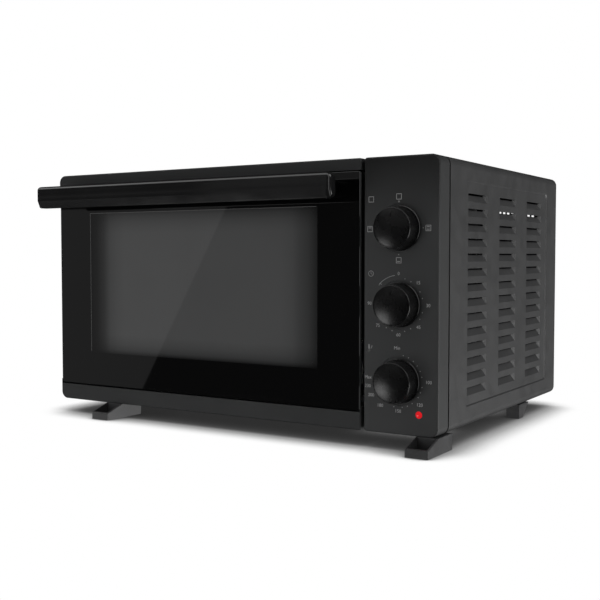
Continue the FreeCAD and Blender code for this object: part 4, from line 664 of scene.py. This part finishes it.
# a row of dots on an arc round a knob, seen from the front, angles clockwise from the top
def buildDotTree():
    tree = bpy.data.node_groups.new("dialDots", "GeometryNodeTree")
    face = tree.interface
    face.new_socket("Geometry", in_out="OUTPUT", socket_type="NodeSocketGeometry")
    for name, kind in (("Count", "NodeSocketInt"), ("Arc Radius", "NodeSocketFloat"),
                       ("Start Angle", "NodeSocketFloat"), ("Step Angle", "NodeSocketFloat"),
                       ("Dot Radius", "NodeSocketFloat"), ("Dot Height", "NodeSocketFloat"),
                       ("Dot Sides", "NodeSocketInt"),
                       ("Centre", "NodeSocketVector"), ("Finish", "NodeSocketMaterial")):
        face.new_socket(name, in_out="INPUT", socket_type=kind)
    add = tree.nodes.new
    link = tree.links.new
    given = add("NodeGroupInput").outputs
    line = add("GeometryNodeMeshLine")
    link(given["Count"], line.inputs["Count"])
    index = add("GeometryNodeInputIndex")

    def calc(operation, first, second=None):
        node = add("ShaderNodeMath")
        node.operation = operation
        link(first, node.inputs[0])
        if second is not None:
            link(second, node.inputs[1])
        return node.outputs[0]

    turn = calc("ADD", calc("MULTIPLY", index.outputs[0], given["Step Angle"]), given["Start Angle"])
    across = calc("MULTIPLY", calc("SINE", turn), given["Arc Radius"])
    up = calc("MULTIPLY", calc("COSINE", turn), given["Arc Radius"])
    spot = add("ShaderNodeCombineXYZ")
    link(across, spot.inputs["X"])
    link(up, spot.inputs["Z"])
    place = add("ShaderNodeVectorMath")
    link(spot.outputs[0], place.inputs[0])
    link(given["Centre"], place.inputs[1])
    move = add("GeometryNodeSetPosition")
    link(line.outputs["Mesh"], move.inputs["Geometry"])
    link(place.outputs[0], move.inputs["Position"])
    dot = add("GeometryNodeMeshCylinder")
    link(given["Dot Sides"], dot.inputs["Vertices"])
    link(given["Dot Radius"], dot.inputs["Radius"])
    link(given["Dot Height"], dot.inputs["Depth"])
    copies = add("GeometryNodeInstanceOnPoints")
    copies.inputs["Rotation"].default_value = (math.pi / 2, 0, 0)
    link(move.outputs["Geometry"], copies.inputs["Points"])
    link(dot.outputs["Mesh"], copies.inputs["Instance"])
    real = add("GeometryNodeRealizeInstances")
    link(copies.outputs["Instances"], real.inputs["Geometry"])
    dress = add("GeometryNodeSetMaterial")
    link(real.outputs["Geometry"], dress.inputs["Geometry"])
    link(given["Finish"], dress.inputs["Material"])
    link(dress.outputs["Geometry"], add("NodeGroupOutput").inputs["Geometry"])
    return tree


# runs a tree with the given inputs and returns the plain mesh that it makes
def meshFromTree(tree, inputs):
    holder = bpy.data.objects.new("treeHolder", bpy.data.meshes.new("treeHolder"))
    bpy.context.scene.collection.objects.link(holder)
    modifier = holder.modifiers.new("tree", "NODES")
    modifier.node_group = tree
    for item in tree.interface.items_tree:
        if item.in_out == "INPUT" and item.name in inputs:
            modifier[item.identifier] = inputs[item.name]
    graph = bpy.context.evaluated_depsgraph_get()
    mesh = bpy.data.meshes.new_from_object(holder.evaluated_get(graph))
    bpy.data.objects.remove(holder)
    return mesh


dotTree = buildDotTree()
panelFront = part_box("control_panel")[0].y
printFace = panelFront - printLook["height"] * mm
printBack = panelFront + printLook["sunk"] * mm
printMiddle = (printFace + printBack) / 2
printMeshes = []


def addDots(centre, radius, first, last, count):
    step = (last - first) / (count - 1) if count > 1 else 0
    printMeshes.append(meshFromTree(dotTree, {
        "Count": count, "Arc Radius": radius * mm, "Start Angle": math.radians(first),
        "Step Angle": math.radians(step), "Dot Radius": printLook["dotRadius"] * mm,
        "Dot Height": (printLook["height"] + printLook["sunk"]) * mm, "Dot Sides": printLook["dotSides"],
        "Centre": (centre.x, printMiddle, centre.z), "Finish": printFinish,
    }))


def addText(centre, words, across, up):
    curve = bpy.data.curves.new("dialWords", "FONT")
    curve.body = words
    curve.size = printLook["textSize"] * mm
    curve.align_x = "CENTER"
    curve.align_y = "CENTER"
    curve.extrude = (printLook["height"] + printLook["sunk"]) / 2 * mm
    curve.resolution_u = printLook["textSteps"]
    holder = bpy.data.objects.new("dialWords", curve)
    bpy.context.scene.collection.objects.link(holder)
    graph = bpy.context.evaluated_depsgraph_get()
    mesh = bpy.data.meshes.new_from_object(holder.evaluated_get(graph))
    bpy.data.objects.remove(holder)
    mesh.transform(Matrix.Translation((centre.x + across * mm, printMiddle, centre.z + up * mm))
                   @ Matrix.Rotation(math.pi / 2, 4, "X"))
    printMeshes.append(mesh)


# a flat printed line through points
def addLine(centre, width, closed, points):
    bm = bmesh.new()
    pairs = list(zip(points, points[1:]))
    if closed:
        pairs.append((points[-1], points[0]))
    for (startX, startZ), (endX, endZ) in pairs:
        length = math.hypot(endX - startX, endZ - startZ)
        alongX = (endX - startX) / length * width / 2
        alongZ = (endZ - startZ) / length * width / 2
        corners = [(startX - alongX - alongZ, startZ - alongZ + alongX),
                   (endX + alongX - alongZ, endZ + alongZ + alongX),
                   (endX + alongX + alongZ, endZ + alongZ - alongX),
                   (startX - alongX + alongZ, startZ - alongZ - alongX)]
        skinRings(bm, [[(centre.x + x * mm, y, centre.z + z * mm) for x, z in corners]
                       for y in (printFace, printBack)])
    bmesh.ops.recalc_face_normals(bm, faces=bm.faces)
    mesh = bpy.data.meshes.new("dialLine")
    bm.to_mesh(mesh)
    bm.free()
    printMeshes.append(mesh)


# a square outline for the oven, with a bar for each heater that is on
def addIcon(centre, across, up, heaters):
    half = printLook["iconSize"] / 2
    addLine(centre, printLook["iconLine"], True, [(across - half, up - half), (across + half, up - half),
                                                  (across + half, up + half), (across - half, up + half)])
    reach = half * printLook["strokeReach"]
    for heater in heaters:
        height = up + heater * printLook["strokeHeight"] * half
        addLine(centre, printLook["strokeLine"], False, [(across - reach, height), (across + reach, height)])


def arcPoints(radius, first, last, count, across, up):
    turns = [math.radians(first + (last - first) * step / (count - 1)) for step in range(count)]
    return [(across + radius * math.sin(turn), up + radius * math.cos(turn)) for turn in turns]


for dial, marks in dialMarks.items():
    low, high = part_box(dial + "_knob")
    centre = (low + high) / 2 + Vector((printLook["shift"] * mm, 0, 0))
    for across, up, heaters in marks["icons"]:
        addIcon(centre, across, up, heaters)
    for words, across, up in marks["words"]:
        addText(centre, words, across, up)
    for radius, first, last, count in marks["dots"]:
        addDots(centre, radius, first, last, count)
    for width, closed, points in marks["lines"]:
        addLine(centre, width, closed, points)
    for width, closed, arc in marks["arcs"]:
        addLine(centre, width, closed, arcPoints(*arc))


def joinMeshes(name, meshes, finish):
    bm = bmesh.new()
    for mesh in meshes:
        bm.from_mesh(mesh)
        bpy.data.meshes.remove(mesh)
    for faceOfPrint in bm.faces:
        faceOfPrint.material_index = 0
        faceOfPrint.smooth = False
    mesh = bpy.data.meshes.new(name)
    bm.to_mesh(mesh)
    bm.free()
    mesh.materials.clear()
    mesh.materials.append(finish)
    piece = bpy.data.objects.new(name, mesh)
    bpy.context.scene.collection.objects.link(piece)
    return piece


dialPrint = joinMeshes("dial_print", printMeshes, printFinish)
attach(dialPrint, "oven_body")
print("dial print made:", len(dialPrint.data.polygons), "faces")


# ---- the CAD nodes that stay get their finishes

# the front chassis takes near black as painted shade in the groove, and the control panel takes its face with
# painted shade towards its top
ownFinish = {"front_chassis": "black_chassis", "control_panel": "panel_face_painted_shade"}
for name, node in nodes.items():
    for place in node.material_slots:
        slotName = place.material.name.split(".")[0]
        place.material = finishes[ownFinish.get(name, slotName)]
print("finishes on the frame's nodes")


# ---- floor, light and camera

studioLook = {
    "floorReach": 6.0, "ambient": 0.30, "mirrorTone": 0.03,
    "shadowReach": 0.048, "shadowSamples": 24,
    "shadowTones": [(0.0, 0.008), (0.35, 0.08), (0.62, 0.36), (0.90, 1.0)],    # openness, floor's tone
    # the mirrored edge on the pane, x and z of its two ends
    "edgeHigh": (0.01457, 0.24669), "edgeLow": (-0.11254, 0.03031),
    "cardPlane": -1.25, "cardReach": 3.0, "cardLift": 0.09, "cardDrop": 1.2, "cardTone": 0.21,
    "rightReach": 0.3, "rightHeight": 0.35, "rightSlant": 0.66, "rightTone": 0.16,
}

# cards that only mirrors see: tone and corners
cardLook = {
    # the handle's top edge
    "top_card": (1.5, [(-2.2, -1.45, 1.06), (1.6, -1.45, 1.06), (1.6, -0.3, 1.5), (-2.2, -0.3, 1.5)]),
    # the lower left of the knobs' faces
    "low_left_card": (3.2, [(-2.6, -1.3, -0.73), (-0.55, -1.3, -0.73),
                            (-0.55, -1.3, -0.2), (-2.6, -1.3, -0.2)]),
    # the handle's lower facet
    "facet_card": (0.13, [(-2.6, -0.35, -0.6), (0.6, -0.35, -0.6), (0.6, -1.25, -0.9), (-2.6, -1.25, -0.9)]),
    # the right of the knobs' rims
    "strip_card": (1.6, [(1.35, -1.15, -0.9), (1.65, -0.85, -0.9), (1.65, -0.85, 1.4), (1.35, -1.15, 1.4)]),
}

# place, target, width and height, watts, and whether glossy finishes mirror it
lightLook = {
    "side_light": ((3.6, 1.5, -1.5), (0.23, 0.0, 0.14), (3.2, 2.6), 150, True),
    "high_side_light": ((2.4, 0.3, 1.6), (0.23, 0.0, 0.14), (1.8, 1.4), 18, True),
    "top_light": ((-0.1, -0.2, 1.9), (0, -0.1, 0.2), (1.7, 1.0), 4, False),
    "front_light": ((-0.6, -2.4, 0.0), (0, -0.15, 0.15), (1.8, 1.2), 22, False),
    "rear_light": ((-1.7, 1.7, 1.2), (-0.1, 0.1, 0.15), (1.4, 1.2), 40, False),
}

cameraLook = {
    "lens": 57.08, "sensor": 36.0, "clipStart": 0.01,
    "place": (0.5678, -0.9161, 0.1765), "turn": (87.30, 0.0, 32.01),
}

scene = bpy.context.scene
scene.view_settings.view_transform = "Standard"


def makeWorld(look):
    world = bpy.data.worlds.new("studio")
    scene.world = world
    world.use_nodes = True
    tree = world.node_tree
    back = tree.nodes["Background"]
    back.inputs["Color"].default_value = (1, 1, 1, 1)
    path = tree.nodes.new("ShaderNodeLightPath")
    first = tree.nodes.new("ShaderNodeMix")
    second = tree.nodes.new("ShaderNodeMix")
    first.inputs["A"].default_value = look["ambient"]
    first.inputs["B"].default_value = look["mirrorTone"]
    second.inputs["B"].default_value = 1.0
    tree.links.new(path.outputs["Is Glossy Ray"], first.inputs["Factor"])
    tree.links.new(first.outputs["Result"], second.inputs["A"])
    tree.links.new(path.outputs["Is Camera Ray"], second.inputs["Factor"])
    tree.links.new(second.outputs["Result"], back.inputs["Strength"])
    world.cycles.sampling_method = "NONE"


def makeFloor(look):
    reach = look["floorReach"]
    mesh = bpy.data.meshes.new("floor")
    corners = [(-reach, -reach, 0), (reach, -reach, 0), (reach, reach, 0), (-reach, reach, 0)]
    mesh.from_pydata(corners, [], [(0, 1, 2, 3)])
    floor = bpy.data.objects.new("floor", mesh)
    scene.collection.objects.link(floor)
    finish = bpy.data.materials.new("pale_floor")
    finish.use_nodes = True
    tree = finish.node_tree
    tree.nodes.clear()
    closeness = tree.nodes.new("ShaderNodeAmbientOcclusion")
    closeness.inputs["Distance"].default_value = look["shadowReach"]
    closeness.samples = look["shadowSamples"]
    glow = tree.nodes.new("ShaderNodeEmission")
    out = tree.nodes.new("ShaderNodeOutputMaterial")
    shades = addRamp(tree, closeness.outputs["AO"], [(openness, (tone, tone, tone))
                                                     for openness, tone in look["shadowTones"]])
    tree.links.new(shades, glow.inputs["Color"])
    tree.links.new(glow.outputs["Emission"], out.inputs["Surface"])
    mesh.materials.append(finish)
    floor.visible_diffuse = False
    floor.visible_glossy = False
    floor.visible_transmission = False
    floor.visible_shadow = False


def makeCard(name, tone, corners):
    mesh = bpy.data.meshes.new(name)
    mesh.from_pydata(corners, [], [tuple(range(len(corners)))])
    card = bpy.data.objects.new(name, mesh)
    scene.collection.objects.link(card)
    finish = bpy.data.materials.new(name)
    finish.use_nodes = True
    tree = finish.node_tree
    tree.nodes.clear()
    glow = tree.nodes.new("ShaderNodeEmission")
    glow.inputs["Strength"].default_value = tone
    out = tree.nodes.new("ShaderNodeOutputMaterial")
    tree.links.new(glow.outputs["Emission"], out.inputs["Surface"])
    finish.cycles.emission_sampling = "NONE"
    mesh.materials.append(finish)
    card.visible_camera = False
    card.visible_diffuse = False
    card.visible_transmission = False
    card.visible_shadow = False


def makeLight(name, place, target, size, power, glossy):
    data = bpy.data.lights.new(name, "AREA")
    data.shape = "RECTANGLE"
    data.size, data.size_y = size
    data.energy = power
    lamp = bpy.data.objects.new(name, data)
    lamp.location = place
    lamp.rotation_euler = (Vector(target) - Vector(place)).to_track_quat("-Z", "Y").to_euler()
    lamp.visible_glossy = glossy
    lamp.visible_camera = False
    scene.collection.objects.link(lamp)


def makeCamera(look):
    data = bpy.data.cameras.new("camera")
    data.lens = look["lens"]
    data.sensor_width = look["sensor"]
    data.clip_start = look["clipStart"]
    camera = bpy.data.objects.new("camera", data)
    camera.location = look["place"]
    camera.rotation_euler = [math.radians(angle) for angle in look["turn"]]
    scene.collection.objects.link(camera)
    scene.camera = camera


# the left card's slanted edge stands where the pane mirrors it on the line named in the settings
def makePaneCards(look, eye):
    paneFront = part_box("door_glass")[0].y
    mirroredEye = Vector((eye.x, 2 * paneFront - eye.y, eye.z))
    reachOut = (look["cardPlane"] - mirroredEye.y) / (paneFront - mirroredEye.y)
    ends = [mirroredEye + reachOut * (Vector((x, paneFront, z)) - mirroredEye)
            for x, z in (look["edgeHigh"], look["edgeLow"])]
    slant = ends[0] - ends[1]
    top = ends[0] - slant * look["cardLift"]
    foot = ends[1] - slant * look["cardDrop"]
    across = Vector((look["cardReach"], 0, 0))
    makeCard("left_card", look["cardTone"], [tuple(top), tuple(foot),
                                             tuple(foot - across), tuple(top - across)])
    far = look["rightReach"]
    makeCard("right_card", look["rightTone"], [tuple(top), (far, top.y, top.z),
                                               (far, top.y, top.z + look["rightHeight"]),
                                               tuple(top + slant * look["rightSlant"])])


makeWorld(studioLook)
makeFloor(studioLook)
makeCamera(cameraLook)
makePaneCards(studioLook, Vector(cameraLook["place"]))
for name, (tone, corners) in cardLook.items():
    makeCard(name, tone, corners)
for name, settings in lightLook.items():
    makeLight(name, *settings)
print("studio made")
